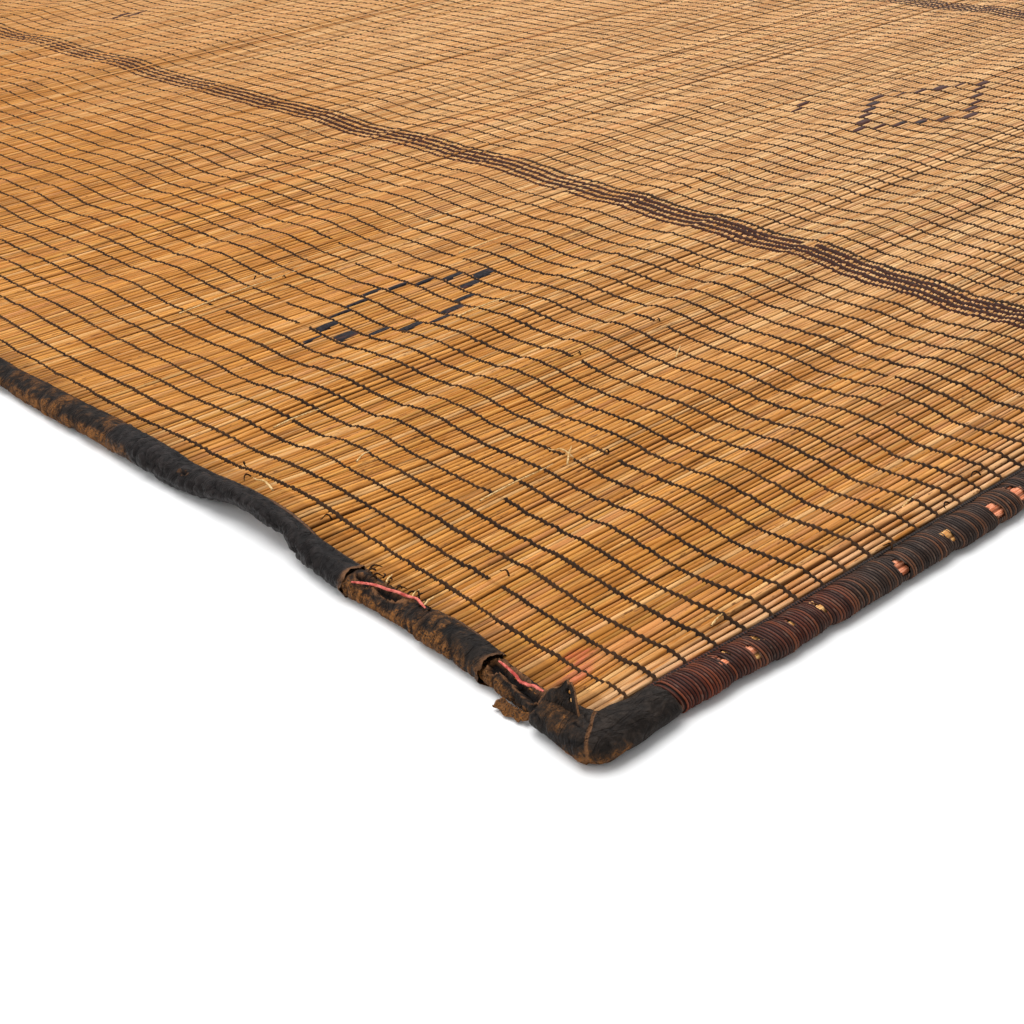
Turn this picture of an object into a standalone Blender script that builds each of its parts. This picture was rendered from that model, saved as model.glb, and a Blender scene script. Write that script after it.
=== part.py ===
"""A reed mat: a sheet of reeds on leather thongs, its reed ends bound in leather sleeves, its two end
rods wrapped in fine thong, and its corners capped in leather. The reeds lie along X and the thongs
along Y. Distances called along run from the near corner point in +Y, and those called across from the
left corner point in +X. Lengths are in metres, and the mat rests on Z = 0."""

import math
from collections import namedtuple

import bmesh
import bpy
from mathutils import Vector

# Driving dimensions
MAT_WIDTH = 1.408
MAT_LENGTH = 1.920
REED_THICKNESS = 0.0042
GAP = 0.0003

# The leather binding that closes the reed ends: its reach outward from its inner face, at size 1
SLEEVE_REACH = 0.0140
SLEEVE_HEIGHT = 0.0120

# The end rods wrapped in thong: their reach outward from their inner face
ROD_REACH = 0.0142
ROD_HEIGHT = 0.0102
ROD_SWELL = 0.0004
ROD_SWELLS = 9
ROD_STATIONS = 36

# The corner caps: where they end, and where their two inner faces meet
CAP_ALONG = 0.0260
CAP_ACROSS = 0.0320
CORNER_ALONG = 0.0056
CORNER_ACROSS = 0.0040
CAP_FAN_STEPS = 8
CAP_CORNER_FULLNESS = 0.17

# Shape of a roll's section: how far round the ellipse it is cut by its flat inner face, and its foot
SECTION_POINTS = 12
SECTION_CENTRE = 3.0 / 7.0
SECTION_TURN = math.radians(138.6)
FOOT_FLAT = 0.0004

# Steps between a crest and a trough, and the least distance between two rows of the reed sheet
STEPS_PER_WAVE = 3
CLOSEST_ROWS = 0.005
# The first reeds follow the bowed rods, and this far from them the reeds are straight
BOW_DEPTH = 0.100
# This width of the reed ends lies level in the binding
LEVEL_ENDS = 0.010
# A folded corner of leather is this thick
FLAP_LEATHER = 0.0012
# Faces that meet at less than this angle are shaded as one surface, and points this close are one
SMOOTH_BELOW = math.radians(40.0)
SAME_POINT = 0.00001

Wave = namedtuple("Wave", "along height")
Edge = namedtuple("Edge", "along inner size left_lift")
Rod = namedtuple("Rod", "along inner")
Column = namedtuple("Column", "across end_share wave_share")
Sleeve = namedtuple("Sleeve", "name side start end larger finish")
Cap = namedtuple("Cap", "turn leg_share reach height")
Cord = namedtuple("Cord", "across along")
Flap = namedtuple("Flap", "across along height")

# Height of the underside of the reeds over the floor, at each crest, trough and flat
WAVES = (
    Wave(CORNER_ALONG + GAP, 0.0030),
    Wave(0.029, 0.0084),
    Wave(0.052, 0.0042),
    Wave(0.109, 0.0066),
    Wave(0.134, 0.0036),
    Wave(0.166, 0.0060),
    Wave(0.205, 0.0020),
    Wave(0.256, 0.0064),
    Wave(0.286, 0.0014),
    Wave(0.326, 0.0046),
    Wave(0.371, 0.0006),
    Wave(0.403, 0.0036),
    Wave(0.440, 0.0),
    Wave(0.470, 0.0),
    Wave(0.550, 0.0040),
    Wave(0.595, 0.0008),
    Wave(0.640, 0.0038),
    Wave(0.685, 0.0),
    Wave(0.710, 0.0),
    Wave(0.775, 0.0030),
    Wave(0.840, 0.0),
    Wave(1.040, 0.0),
    Wave(1.105, 0.0034),
    Wave(1.170, 0.0),
    Wave(1.200, 0.0),
    Wave(1.270, 0.0028),
    Wave(1.340, 0.0),
    Wave(1.375, 0.0),
    Wave(1.455, 0.0036),
    Wave(1.530, 0.0),
    Wave(1.560, 0.0),
    Wave(1.650, 0.0030),
    Wave(1.735, 0.0004),
    Wave(1.810, 0.0036),
    Wave(1.862, 0.0012),
    Wave(1.893, 0.0056),
    Wave(MAT_LENGTH - CORNER_ALONG - GAP, 0.0030),
)

# Line of the reed ends: the binding's inner face, its size, and how far the left one is off the floor
EDGES = (
    Edge(0.000, CORNER_ACROSS, 1.00, 0.0),
    Edge(0.026, CORNER_ACROSS, 0.88, 0.0),
    Edge(0.036, 0.0046, 0.86, 0.0),
    Edge(0.052, 0.0060, 0.90, 0.0),
    Edge(0.066, 0.0078, 0.96, 0.0),
    Edge(0.085, 0.0087, 0.98, 0.0),
    Edge(0.109, 0.0083, 0.92, 0.0),
    Edge(0.128, 0.0077, 0.87, 0.0),
    Edge(0.142, 0.0074, 0.98, 0.0),
    Edge(0.156, 0.0072, 1.00, 0.0002),
    Edge(0.175, 0.0071, 0.84, 0.0026),
    Edge(0.190, 0.0073, 0.72, 0.0066),
    Edge(0.212, 0.0079, 0.71, 0.0080),
    Edge(0.235, 0.0077, 0.75, 0.0066),
    Edge(0.256, 0.0076, 0.92, 0.0026),
    Edge(0.275, 0.0073, 1.06, 0.0),
    Edge(0.300, 0.0076, 1.16, 0.0),
    Edge(0.345, 0.0065, 1.14, 0.0),
    Edge(0.390, 0.0039, 1.12, 0.0),
    Edge(0.450, 0.0013, 1.00, 0.0),
    Edge(0.595, 0.0010, 1.00, 0.0),
    Edge(1.340, 0.0010, 1.00, 0.0),
    Edge(1.530, 0.0030, 1.00, 0.0),
    Edge(1.735, 0.0078, 0.96, 0.0),
    Edge(1.810, 0.0078, 0.96, 0.0),
    Edge(MAT_LENGTH - 0.026, CORNER_ACROSS, 0.92, 0.0),
    Edge(MAT_LENGTH, CORNER_ACROSS, 1.00, 0.0),
)

# Line of the end rods' inner face, from a corner to the middle of the mat, where along is across
RODS = (
    Rod(0.000, CORNER_ALONG),
    Rod(0.042, CORNER_ALONG),
    Rod(0.080, 0.0036),
    Rod(0.160, 0.0026),
    Rod(0.300, 0.0018),
    Rod(MAT_WIDTH / 2.0, 0.0018),
)

# Sections of a corner cap, from the end of its rod leg, round the corner, to the end of its sleeve leg
CAPS = (
    Cap(0.0, 1.0, 0.0150, 0.0116),
    Cap(0.0, 0.6, 0.0158, 0.0124),
    Cap(0.0, 0.0, 0.0164, 0.0131),
    Cap(1.0, 0.0, 0.0154, 0.0130),
    Cap(1.0, 0.5, 0.0150, 0.0126),
    Cap(1.0, 1.0, 0.0136, 0.0116),
)

# Columns of the sheet's points past its level ends: how much of the height of the ends is left there,
# and how much of the waves there is, which die out towards the stiff binding
COLUMNS = (
    Column(0.042, 0.65, 0.35),
    Column(0.080, 0.30, 0.70),
    Column(0.160, 0.0, 1.0),
    Column(0.300, 0.0, 1.0),
    Column(0.490, 0.0, 0.88),
    Column(MAT_WIDTH / 2.0, 0.0, 0.80),
)

# Leather sleeves, in the order in which they were sewn on: larger is their extra reach and height
SLEEVES = (
    Sleeve("sleeve_left_torn", "left", CAP_ALONG + GAP, 0.0560, -0.0012, "worn"),
    Sleeve("sleeve_left_dark", "left", 0.0563, 0.0960, 0.0, "worn"),
    Sleeve("sleeve_left_patched", "left", 0.0963, 0.1420, -0.0006, "worn"),
    Sleeve("sleeve_left_black", "left", 0.1423, 0.3350, 0.0, "black"),
    Sleeve("sleeve_left_suede", "left", 0.3353, 0.9000, -0.0004, "suede"),
    Sleeve("sleeve_left_rear", "left", 0.9003, MAT_LENGTH - CAP_ALONG - GAP, 0.0, "black"),
    Sleeve("sleeve_right_front", "right", CAP_ALONG + GAP, 0.6400, 0.0, "black"),
    Sleeve("sleeve_right_middle", "right", 0.6403, 1.2700, -0.0004, "suede"),
    Sleeve("sleeve_right_rear", "right", 1.2703, MAT_LENGTH - CAP_ALONG - GAP, 0.0, "black"),
)

# Pink piping that shows through the torn places, as points across and along on the binding's crown
PIPING_RADIUS = 0.0008
PIPING_CLEARANCE = 0.0005
PIPING_SIDES = 8
PIPINGS = {
    "piping_corner": (
        Cord(0.0005, 0.0275),
        Cord(-0.0004, 0.0330),
        Cord(-0.0010, 0.0377),
        Cord(0.0001, 0.0443),
        Cord(0.0012, 0.0530),
    ),
    "piping_middle": (
        Cord(0.0036, 0.0975),
        Cord(0.0053, 0.1068),
        Cord(0.0024, 0.1185),
        Cord(0.0010, 0.1290),
        Cord(-0.0036, 0.1370),
    ),
}

# Lifted leather at the corner: rows of a tongue and of a curl, from root to tip, each with two edges
TONGUE = (
    (Flap(-0.0018, 0.0085, 0.0134), Flap(-0.0018, 0.0205, 0.0134)),
    (Flap(0.0000, 0.0105, 0.0178), Flap(-0.0006, 0.0185, 0.0176)),
    (Flap(0.0008, 0.0132, 0.0222), Flap(0.0005, 0.0150, 0.0222)),
)
CURL = (
    (Flap(-0.0069, 0.0300, 0.0050), Flap(-0.0067, 0.0425, 0.0050)),
    (Flap(-0.0088, 0.0294, 0.0038), Flap(-0.0090, 0.0430, 0.0036)),
    (Flap(-0.0102, 0.0310, 0.0020), Flap(-0.0108, 0.0424, 0.0018)),
)


def clear_scene():
    """Remove every object of the open scene."""
    for thing in list(bpy.data.objects):
        bpy.data.objects.remove(thing, do_unlink=True)


def make_finish(name, color, roughness):
    """A plain Principled material."""
    finish = bpy.data.materials.new(name)
    finish.use_nodes = True
    shader = finish.node_tree.nodes["Principled BSDF"]
    shader.inputs["Base Color"].default_value = (*color, 1.0)
    shader.inputs["Roughness"].default_value = roughness
    shader.inputs["Metallic"].default_value = 0.0
    return finish


def value_along(rows, along, column, eased=False):
    """A table's value at a distance along the mat, on a straight or an eased line between its rows."""
    for before, after in zip(rows, rows[1:]):
        if along <= after.along:
            share = (along - before.along) / (after.along - before.along)
            if eased:
                share = (1.0 - math.cos(math.pi * share)) / 2.0
            low = getattr(before, column)
            return low + share * (getattr(after, column) - low)
    return getattr(rows[-1], column)


def point(across, along, height):
    """A point of the model from its distances across and along the mat and its height."""
    return Vector((across - MAT_WIDTH / 2.0, along - MAT_LENGTH / 2.0, height))


def close_end(mesh, ring):
    """Close a ring with a strip of quads between its first and last points."""
    first, last = 0, len(ring) - 1
    while last - first > 2:
        mesh.faces.new((ring[first], ring[first + 1], ring[last - 1], ring[last]))
        first, last = first + 1, last - 1
    if last - first == 2:
        mesh.faces.new((ring[first], ring[first + 1], ring[last]))


def loft(name, rings, finish, mat):
    """A closed solid through rings of points, as an object whose origin is its first ring's middle."""
    origin = sum(rings[0], Vector()) / len(rings[0])
    mesh = bmesh.new()
    loops = [[mesh.verts.new(spot - origin) for spot in ring] for ring in rings]
    for ring, following in zip(loops, loops[1:]):
        for index, corner in enumerate(ring):
            beside = (index + 1) % len(ring)
            mesh.faces.new((corner, ring[beside], following[beside], following[index]))
    close_end(mesh, loops[0])
    close_end(mesh, loops[-1])
    bmesh.ops.remove_doubles(mesh, verts=mesh.verts, dist=SAME_POINT)
    bmesh.ops.recalc_face_normals(mesh, faces=mesh.faces)
    data = bpy.data.meshes.new(name)
    mesh.to_mesh(data)
    mesh.free()
    data.shade_smooth()
    data.set_sharp_from_angle(angle=SMOOTH_BELOW)
    data.materials.append(finish)
    solid = bpy.data.objects.new(name, data)
    solid.location = origin
    solid.parent = mat
    bpy.context.collection.objects.link(solid)


def field_stations():
    """Distances along the mat of the reed sheet's rows: every fold's ends, and steps between them."""
    kept = {wave.along for wave in WAVES}
    kept |= {edge.along for edge in EDGES if WAVES[0].along < edge.along < WAVES[-1].along}
    for before, after in zip(WAVES, WAVES[1:]):
        if before.height == after.height:
            continue
        for step in range(1, STEPS_PER_WAVE):
            along = before.along + (after.along - before.along) * step / STEPS_PER_WAVE
            if min(abs(along - other) for other in kept) > CLOSEST_ROWS:
                kept.add(along)
    return sorted(kept)


def field_side(side, along):
    """Across distance and underside height of the sheet's columns, from one side's reed ends inward."""
    inner = value_along(EDGES, along, "inner") + GAP
    lift = value_along(EDGES, along, "left_lift") if side == "left" else 0.0
    middle = SLEEVE_HEIGHT * value_along(EDGES, along, "size") / 2.0
    end_height = middle + lift - REED_THICKNESS / 2.0
    wave_height = value_along(WAVES, along, "height", eased=True)
    line = [(inner, end_height), (inner + LEVEL_ENDS, end_height)]
    for column in COLUMNS:
        line.append((column.across, column.end_share * end_height + column.wave_share * wave_height))
    return [(across if side == "left" else MAT_WIDTH - across, height) for across, height in line]


def rod_line(across):
    """Distance along the mat of the end rods' inner face."""
    return value_along(RODS, min(across, MAT_WIDTH - across), "inner")


def reed_line(across, along):
    """Distance along the mat of a point of the sheet, where the first reeds follow the bowed rods."""
    from_end = min(along, MAT_LENGTH - along) - CORNER_ALONG - GAP
    bow = (rod_line(across) - CORNER_ALONG) * max(0.0, 1.0 - from_end / BOW_DEPTH)
    return along + bow if along < MAT_LENGTH / 2.0 else along - bow


def make_reed_field(finish, mat):
    """The sheet of reeds on its thongs, with the folds that run along the reeds."""
    rings = []
    for along in field_stations():
        right = field_side("right", along)
        line = field_side("left", along) + right[-2::-1]
        under = [point(across, reed_line(across, along), height) for across, height in line]
        over = [spot + Vector((0.0, 0.0, REED_THICKNESS)) for spot in reversed(under)]
        rings.append(under + over)
    loft("reed_field", rings, finish, mat)


def roll_section(reach, height):
    """A roll's section, as outward distance and height: an ellipse cut flat on its inner side and foot."""
    centre = reach * SECTION_CENTRE
    points = []
    for index in range(SECTION_POINTS):
        angle = SECTION_TURN * (2.0 * index / (SECTION_POINTS - 1) - 1.0)
        outward = centre + (reach - centre) * math.cos(angle)
        rise = height * (1.0 + math.sin(angle)) / 2.0
        rise = max(0.0, (rise - FOOT_FLAT) * height / (height - FOOT_FLAT))
        if index in (0, SECTION_POINTS - 1):
            outward = 0.0
        points.append((outward, rise))
    return points


def sleeve_size(sleeve, along):
    """Reach and height of a leather sleeve's section."""
    size = value_along(EDGES, along, "size")
    return SLEEVE_REACH * size + sleeve.larger, SLEEVE_HEIGHT * size + sleeve.larger


def sleeve_ring(sleeve, along):
    """One section of a leather sleeve, on the line of the reed ends."""
    inner = value_along(EDGES, along, "inner")
    lift = value_along(EDGES, along, "left_lift") if sleeve.side == "left" else 0.0
    reach, height = sleeve_size(sleeve, along)
    ring = []
    for away, rise in roll_section(reach, height):
        across = inner - away
        if sleeve.side == "right":
            across = MAT_WIDTH - across
        ring.append(point(across, along, rise + lift))
    return ring


def make_sleeves(finishes, mat):
    """The leather sleeves that close the reed ends, one after the other."""
    for sleeve in SLEEVES:
        stations = [sleeve.start, sleeve.end]
        stations += [edge.along for edge in EDGES if sleeve.start < edge.along < sleeve.end]
        rings = [sleeve_ring(sleeve, along) for along in sorted(stations)]
        loft(sleeve.name, rings, finishes[sleeve.finish], mat)


def make_rod(name, far_end, finish, mat):
    """The rods at one end of the mat, wrapped together in thong."""
    start, end = CAP_ACROSS + GAP, MAT_WIDTH - CAP_ACROSS - GAP
    stations = {start + (end - start) * index / ROD_STATIONS for index in range(ROD_STATIONS + 1)}
    for kink in RODS[1:-1]:
        stations |= {kink.along, MAT_WIDTH - kink.along}
    rings = []
    for across in sorted(stations):
        share = (across - start) / (end - start)
        swell = ROD_SWELL * math.sin(2.0 * math.pi * ROD_SWELLS * share)
        ring = []
        for away, rise in roll_section(ROD_REACH + swell, ROD_HEIGHT):
            along = rod_line(across) - away
            ring.append(point(across, MAT_LENGTH - along if far_end else along, rise))
        rings.append(ring)
    loft(name, rings, finish, mat)


def cap_ring(right, far, across, along, section):
    """One section of a cap on its inner faces, turned from its rod leg (0) to its sleeve leg (1)."""
    quarter = section.turn * math.pi / 2.0
    ring = []
    for away, rise in roll_section(section.reach, section.height):
        x = CORNER_ACROSS + across - away * math.sin(quarter)
        y = CORNER_ALONG + along - away * math.cos(quarter)
        ring.append(point(MAT_WIDTH - x if right else x, MAT_LENGTH - y if far else y, rise))
    return ring


def make_cap(name, right, far, finish, mat):
    """A leather cap round one corner, from the rods to the first sleeve."""
    rings = []
    for section in CAPS:
        across = (CAP_ACROSS - CORNER_ACROSS) * section.leg_share * (1.0 - section.turn)
        along = (CAP_ALONG - CORNER_ALONG) * section.leg_share * section.turn
        rings.append(cap_ring(right, far, across, along, section))
        if section.turn == 0.0 and section.leg_share == 0.0:
            after = CAPS[CAPS.index(section) + 1]
            for step in range(1, CAP_FAN_STEPS):
                turn = step / CAP_FAN_STEPS
                reach = section.reach + turn * (after.reach - section.reach)
                reach *= 1.0 + CAP_CORNER_FULLNESS * math.sin(math.pi * turn) ** 2
                between = Cap(turn, 0.0, reach, section.height)
                rings.append(cap_ring(right, far, 0.0, 0.0, between))
    loft(name, rings, finish, mat)


def crown_height(across, along):
    """Height of the left binding's surface over the floor, next to a torn place."""
    for sleeve in SLEEVES:
        if sleeve.side == "left" and sleeve.start <= along <= sleeve.end:
            reach, height = sleeve_size(sleeve, along)
            away = value_along(EDGES, along, "inner") - across
            centre = reach * SECTION_CENTRE
            share = min(1.0, abs(away - centre) / (reach - centre))
            return height * (1.0 + math.sqrt(1.0 - share * share)) / 2.0
    return SLEEVE_HEIGHT


def make_piping(name, route, finish, mat):
    """A short length of piping that lies on the binding, where the leather is torn."""
    centres = []
    for spot in route:
        height = crown_height(spot.across, spot.along) + PIPING_RADIUS + PIPING_CLEARANCE
        centres.append(point(spot.across, spot.along, height))
    rings = []
    for index, centre in enumerate(centres):
        heading = centres[min(index + 1, len(centres) - 1)] - centres[max(index - 1, 0)]
        beside = heading.cross(Vector((0.0, 0.0, 1.0))).normalized()
        above = beside.cross(heading).normalized()
        ring = []
        for side in range(PIPING_SIDES):
            angle = 2.0 * math.pi * side / PIPING_SIDES
            ring.append(centre + PIPING_RADIUS * (math.cos(angle) * beside + math.sin(angle) * above))
        rings.append(ring)
    loft(name, rings, finish, mat)


def make_flap(name, rows, finish, mat):
    """A lifted piece of leather, FLAP_LEATHER thick, as a strip of rows from its root to its tip."""
    inward = Vector((-FLAP_LEATHER, 0.0, 0.0))
    downward = Vector((0.0, 0.0, -FLAP_LEATHER))
    upright = rows[-1][0].height > rows[0][0].height
    thick = inward if upright else downward
    rings = []
    for row in rows:
        front, back = (point(spot.across, spot.along, spot.height) for spot in row)
        rings.append([front, back, back + thick, front + thick])
    loft(name, rings, finish, mat)


def main():
    clear_scene()
    mat = bpy.data.objects.new("mat", None)
    bpy.context.collection.objects.link(mat)
    reed = make_finish("reed", (0.56, 0.30, 0.10), 0.55)
    thong = make_finish("wrapped_thong", (0.045, 0.018, 0.012), 0.55)
    pink = make_finish("pink_piping", (0.60, 0.13, 0.11), 0.6)
    leathers = {
        "black": make_finish("black_leather", (0.022, 0.020, 0.019), 0.45),
        "worn": make_finish("worn_leather", (0.060, 0.032, 0.018), 0.6),
        "suede": make_finish("suede_leather", (0.085, 0.045, 0.024), 0.75),
    }
    make_reed_field(reed, mat)
    make_sleeves(leathers, mat)
    make_rod("rod_near", False, thong, mat)
    make_rod("rod_far", True, thong, mat)
    make_cap("cap_near_left", False, False, leathers["black"], mat)
    make_cap("cap_near_right", True, False, leathers["black"], mat)
    make_cap("cap_far_left", False, True, leathers["black"], mat)
    make_cap("cap_far_right", True, True, leathers["black"], mat)
    for name, route in PIPINGS.items():
        make_piping(name, route, pink, mat)
    make_flap("cap_tongue", TONGUE, leathers["black"], mat)
    make_flap("torn_curl", CURL, leathers["worn"], mat)


main()
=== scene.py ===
import math
from collections import namedtuple

import bpy
import numpy as np
from mathutils import Matrix, Vector
from mathutils.bvhtree import BVHTree

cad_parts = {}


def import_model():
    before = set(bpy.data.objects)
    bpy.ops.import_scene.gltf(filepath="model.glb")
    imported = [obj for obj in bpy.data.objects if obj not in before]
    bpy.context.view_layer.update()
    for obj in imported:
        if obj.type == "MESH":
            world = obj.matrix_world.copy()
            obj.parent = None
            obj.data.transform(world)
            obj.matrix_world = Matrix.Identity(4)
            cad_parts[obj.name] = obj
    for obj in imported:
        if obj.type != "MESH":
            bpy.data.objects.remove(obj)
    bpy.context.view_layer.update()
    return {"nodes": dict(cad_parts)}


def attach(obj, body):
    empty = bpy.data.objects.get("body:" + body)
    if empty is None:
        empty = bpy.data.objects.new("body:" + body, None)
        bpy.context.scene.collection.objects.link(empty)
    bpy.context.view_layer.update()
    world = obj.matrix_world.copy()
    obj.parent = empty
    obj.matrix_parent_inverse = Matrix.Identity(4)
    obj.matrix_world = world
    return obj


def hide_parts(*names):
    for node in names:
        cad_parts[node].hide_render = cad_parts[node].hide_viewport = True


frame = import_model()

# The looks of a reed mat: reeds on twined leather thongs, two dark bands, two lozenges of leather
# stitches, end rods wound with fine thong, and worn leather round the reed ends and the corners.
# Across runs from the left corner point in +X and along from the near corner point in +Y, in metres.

# Sizes that the solids are drawn from
MAT_WIDTH = 1.408
MAT_LENGTH = 1.920
CORNER_ALONG = 0.0056
CORNER_ACROSS = 0.0040
GAP = 0.0003
BOW_DEPTH = 0.100
ROLL_CENTRE = 3.0 / 7.0
ROLL_TURN = math.radians(138.6)
# How near a solid's corners are that count as one section, and as one corner
SECTION_MARGIN = 0.00002
WELD_REACH = 0.00002

# Camera: its place, its right, up and back directions, and its lens on a square frame
CAMERA_SPOT = (-0.97527, -1.26778, 0.32)
CAMERA_RIGHT = (0.75826, -0.64796, -0.07204)
CAMERA_UP = (0.36278, 0.32755, 0.87241)
CAMERA_BACK = (-0.54169, -0.68765, 0.48344)
CAMERA_LENS = 54.17
CAMERA_SENSOR = 36.0

# Soft lights, the sky and the floor
Light = namedtuple("Light", "name spot target size power")
LIGHTS = (
    Light("light_over", (-0.5, 0.25, 3.1), (-0.1, -0.2, 0.0), 3.4, 114.0),
    Light("light_behind", (2.8, 1.2, 1.9), (0.0, -0.2, 0.0), 2.2, 30.0),
    Light("light_left", (-2.8, -0.2, 1.8), (-0.5, -0.6, 0.0), 2.0, 14.0),
)
SKY_STRENGTH = 0.57
FLOOR_HALF = 40.0

# Even noise: how many values it has, and the steps from one to the next across and along
NOISE_VALUES = 4093
NOISE_STRIDES = (7919, 104729)

# Reeds
REED_PITCH = 0.0028
REED_HALF_HEIGHT = 0.00128
REED_FILL = 1.05
REED_SIDES = 6
REED_UNEVEN = 0.24
REED_TUCK = 0.0030
REED_PLACES = (0.0, 0.010, 0.038, 0.085, 0.160, 0.260, 0.370, 0.430, 0.560)
REEDS_BY_ROD = 4
REED_END = 0.010
REED_CROWN = 0.87
LANE_PITCH = 0.0371

# Thongs: the first line and the pitch of the plain lines up to the dark band
FIRST_LINE = 0.0145
LINE_PITCH = 0.0159
SIDE_LINES = 24
MIDDLE_LINES = 18
MIDDLE_PITCH = 0.0150
THONG_WIDTH = 0.00185
THONG_RISE = 0.00065
STRAY_STEP = 7.3
BAND_CENTRE = 0.4110
BAND_TO_LINE = 0.0155

Band = namedtuple("Band", "offset width")
BAND_LINES = [Band(*row) for row in (
    (-0.0135, 0.0031), (-0.0067, 0.0046), (0.0, 0.0049), (0.0067, 0.0046), (0.0135, 0.0030),
)]

# How the lines run near a rod: the place of the first line and the pitch, at distances from the rod
Lean = namedtuple("Lean", "along start pitch")
LEANS = [Lean(*row) for row in (
    (0.000, 0.0185, 0.01430), (0.008, 0.0215, 0.01430), (0.016, 0.0224, 0.01425),
    (0.032, 0.0208, 0.01425), (0.070, 0.0220, 0.01470), (0.115, 0.0242, 0.01450),
    (0.170, 0.0246, 0.01470), (0.200, 0.0230, 0.01500), (0.265, 0.0214, 0.01520),
    (0.300, 0.0206, 0.01530), (0.340, 0.0170, 0.01550), (0.400, 0.0155, 0.01575),
    (0.450, 0.0142, 0.01590),
)]

# Small ridges and hollows of the sheet near the front rod, on top of its solid's waves
Ripple = namedtuple("Ripple", "along rise")
RIPPLES = [Ripple(*row) for row in (
    (0.000, 0.0), (0.018, 0.0010), (0.033, -0.0004), (0.065, -0.0006), (0.093, 0.0007),
    (0.108, -0.0012), (0.146, 0.0013), (0.166, -0.0010), (0.182, -0.0008), (0.200, 0.0004),
    (0.228, 0.0017), (0.243, 0.0009), (0.259, -0.0018), (0.290, 0.0018), (0.302, 0.0018), (0.320, 0.0),
    (0.342, -0.0014), (0.380, 0.0009), (0.402, -0.0016), (0.420, -0.0015), (0.442, 0.0010),
    (0.480, 0.0005), (0.520, 0.0012), (0.560, -0.0018), (0.600, 0.0012), (0.640, -0.0018),
    (0.680, 0.0010), (0.720, -0.0016),
)]
LOWEST_MIDDLE = 0.0016
# The lowest that a leather or a thong lies over the floor
LOWEST = 0.0002

# Where a thong has worn through: its line, its place along and the length that is missing
Break = namedtuple("Break", "line along length")
BREAKS = [Break(*row) for row in (
    (1, 0.0985, 0.007), (4, 0.1505, 0.005), (7, 0.1540, 0.006), (8, 0.1400, 0.005), (12, 0.2310, 0.006),
    (16, 0.2310, 0.008), (14, 0.0795, 0.006), (16, 0.0805, 0.007), (16, 0.2560, 0.005),
    (18, 0.1000, 0.004), (7, 0.4520, 0.016), (9, 0.4340, 0.006), (10, 0.4630, 0.011),
    (13, 0.4550, 0.007), (14, 0.4320, 0.006), (14, 0.4950, 0.006), (16, 0.4080, 0.008),
    (8, 0.3880, 0.010), (18, 0.4130, 0.015), (18, 0.3290, 0.006), (19, 0.3230, 0.008),
    (24, 0.4600, 0.006), (27, 0.2500, 0.010), (30, 0.3850, 0.006), (33, 0.2800, 0.008),
    (6, 0.6200, 0.012), (15, 0.6600, 0.010), (20, 0.7400, 0.012), (3, 0.7000, 0.010),
)]

# Leather stitches of the lozenges: the thong line at a stitch's left, its place along and its width
Stitch = namedtuple("Stitch", "line along width")
STITCHES = [Stitch(*row) for row in (
    (7, 0.3690, 0.0052), (8, 0.3770, 0.0050), (9, 0.3865, 0.0032), (10, 0.3940, 0.0026),
    (11, 0.4010, 0.0040), (12, 0.3960, 0.0046), (13, 0.3900, 0.0046), (14, 0.3830, 0.0052),
    (8, 0.3590, 0.0060), (9, 0.3480, 0.0056), (10, 0.3400, 0.0052), (11, 0.3335, 0.0046),
    (12, 0.3430, 0.0050), (13, 0.3530, 0.0054), (14, 0.3660, 0.0062), (15, 0.3740, 0.0050),
    (41, 0.3860, 0.0040), (42, 0.3950, 0.0034), (43, 0.4050, 0.0040), (44, 0.4135, 0.0036),
    (45, 0.4230, 0.0042), (46, 0.4320, 0.0046), (47, 0.4230, 0.0034), (48, 0.4150, 0.0034),
    (49, 0.4080, 0.0046), (50, 0.3990, 0.0030), (42, 0.3790, 0.0036), (43, 0.3720, 0.0042),
    (44, 0.3635, 0.0034), (45, 0.3545, 0.0034), (46, 0.3430, 0.0048), (47, 0.3540, 0.0042),
    (48, 0.3625, 0.0042), (49, 0.3730, 0.0050), (50, 0.3810, 0.0036), (51, 0.3890, 0.0036),
    (42, 0.4600, 0.0034), (43, 0.4680, 0.0034), (34, 1.3340, 0.0070), (35, 1.3250, 0.0070),
    (35, 1.3430, 0.0070), (36, 1.3340, 0.0070),
)]

# Stitches on lines past this one are of redder leather
LAST_BLUE_LINE = 30

# Half the thickness of loose ends and splinters, and the marks of thong with no painted crest highlight
LOOSE_END_RADIUS = 0.00045
SPLINTER_RADIUS = 0.0005
PLAIN_THONG = {"crest": 0.0, "tint": 0.0}

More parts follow.
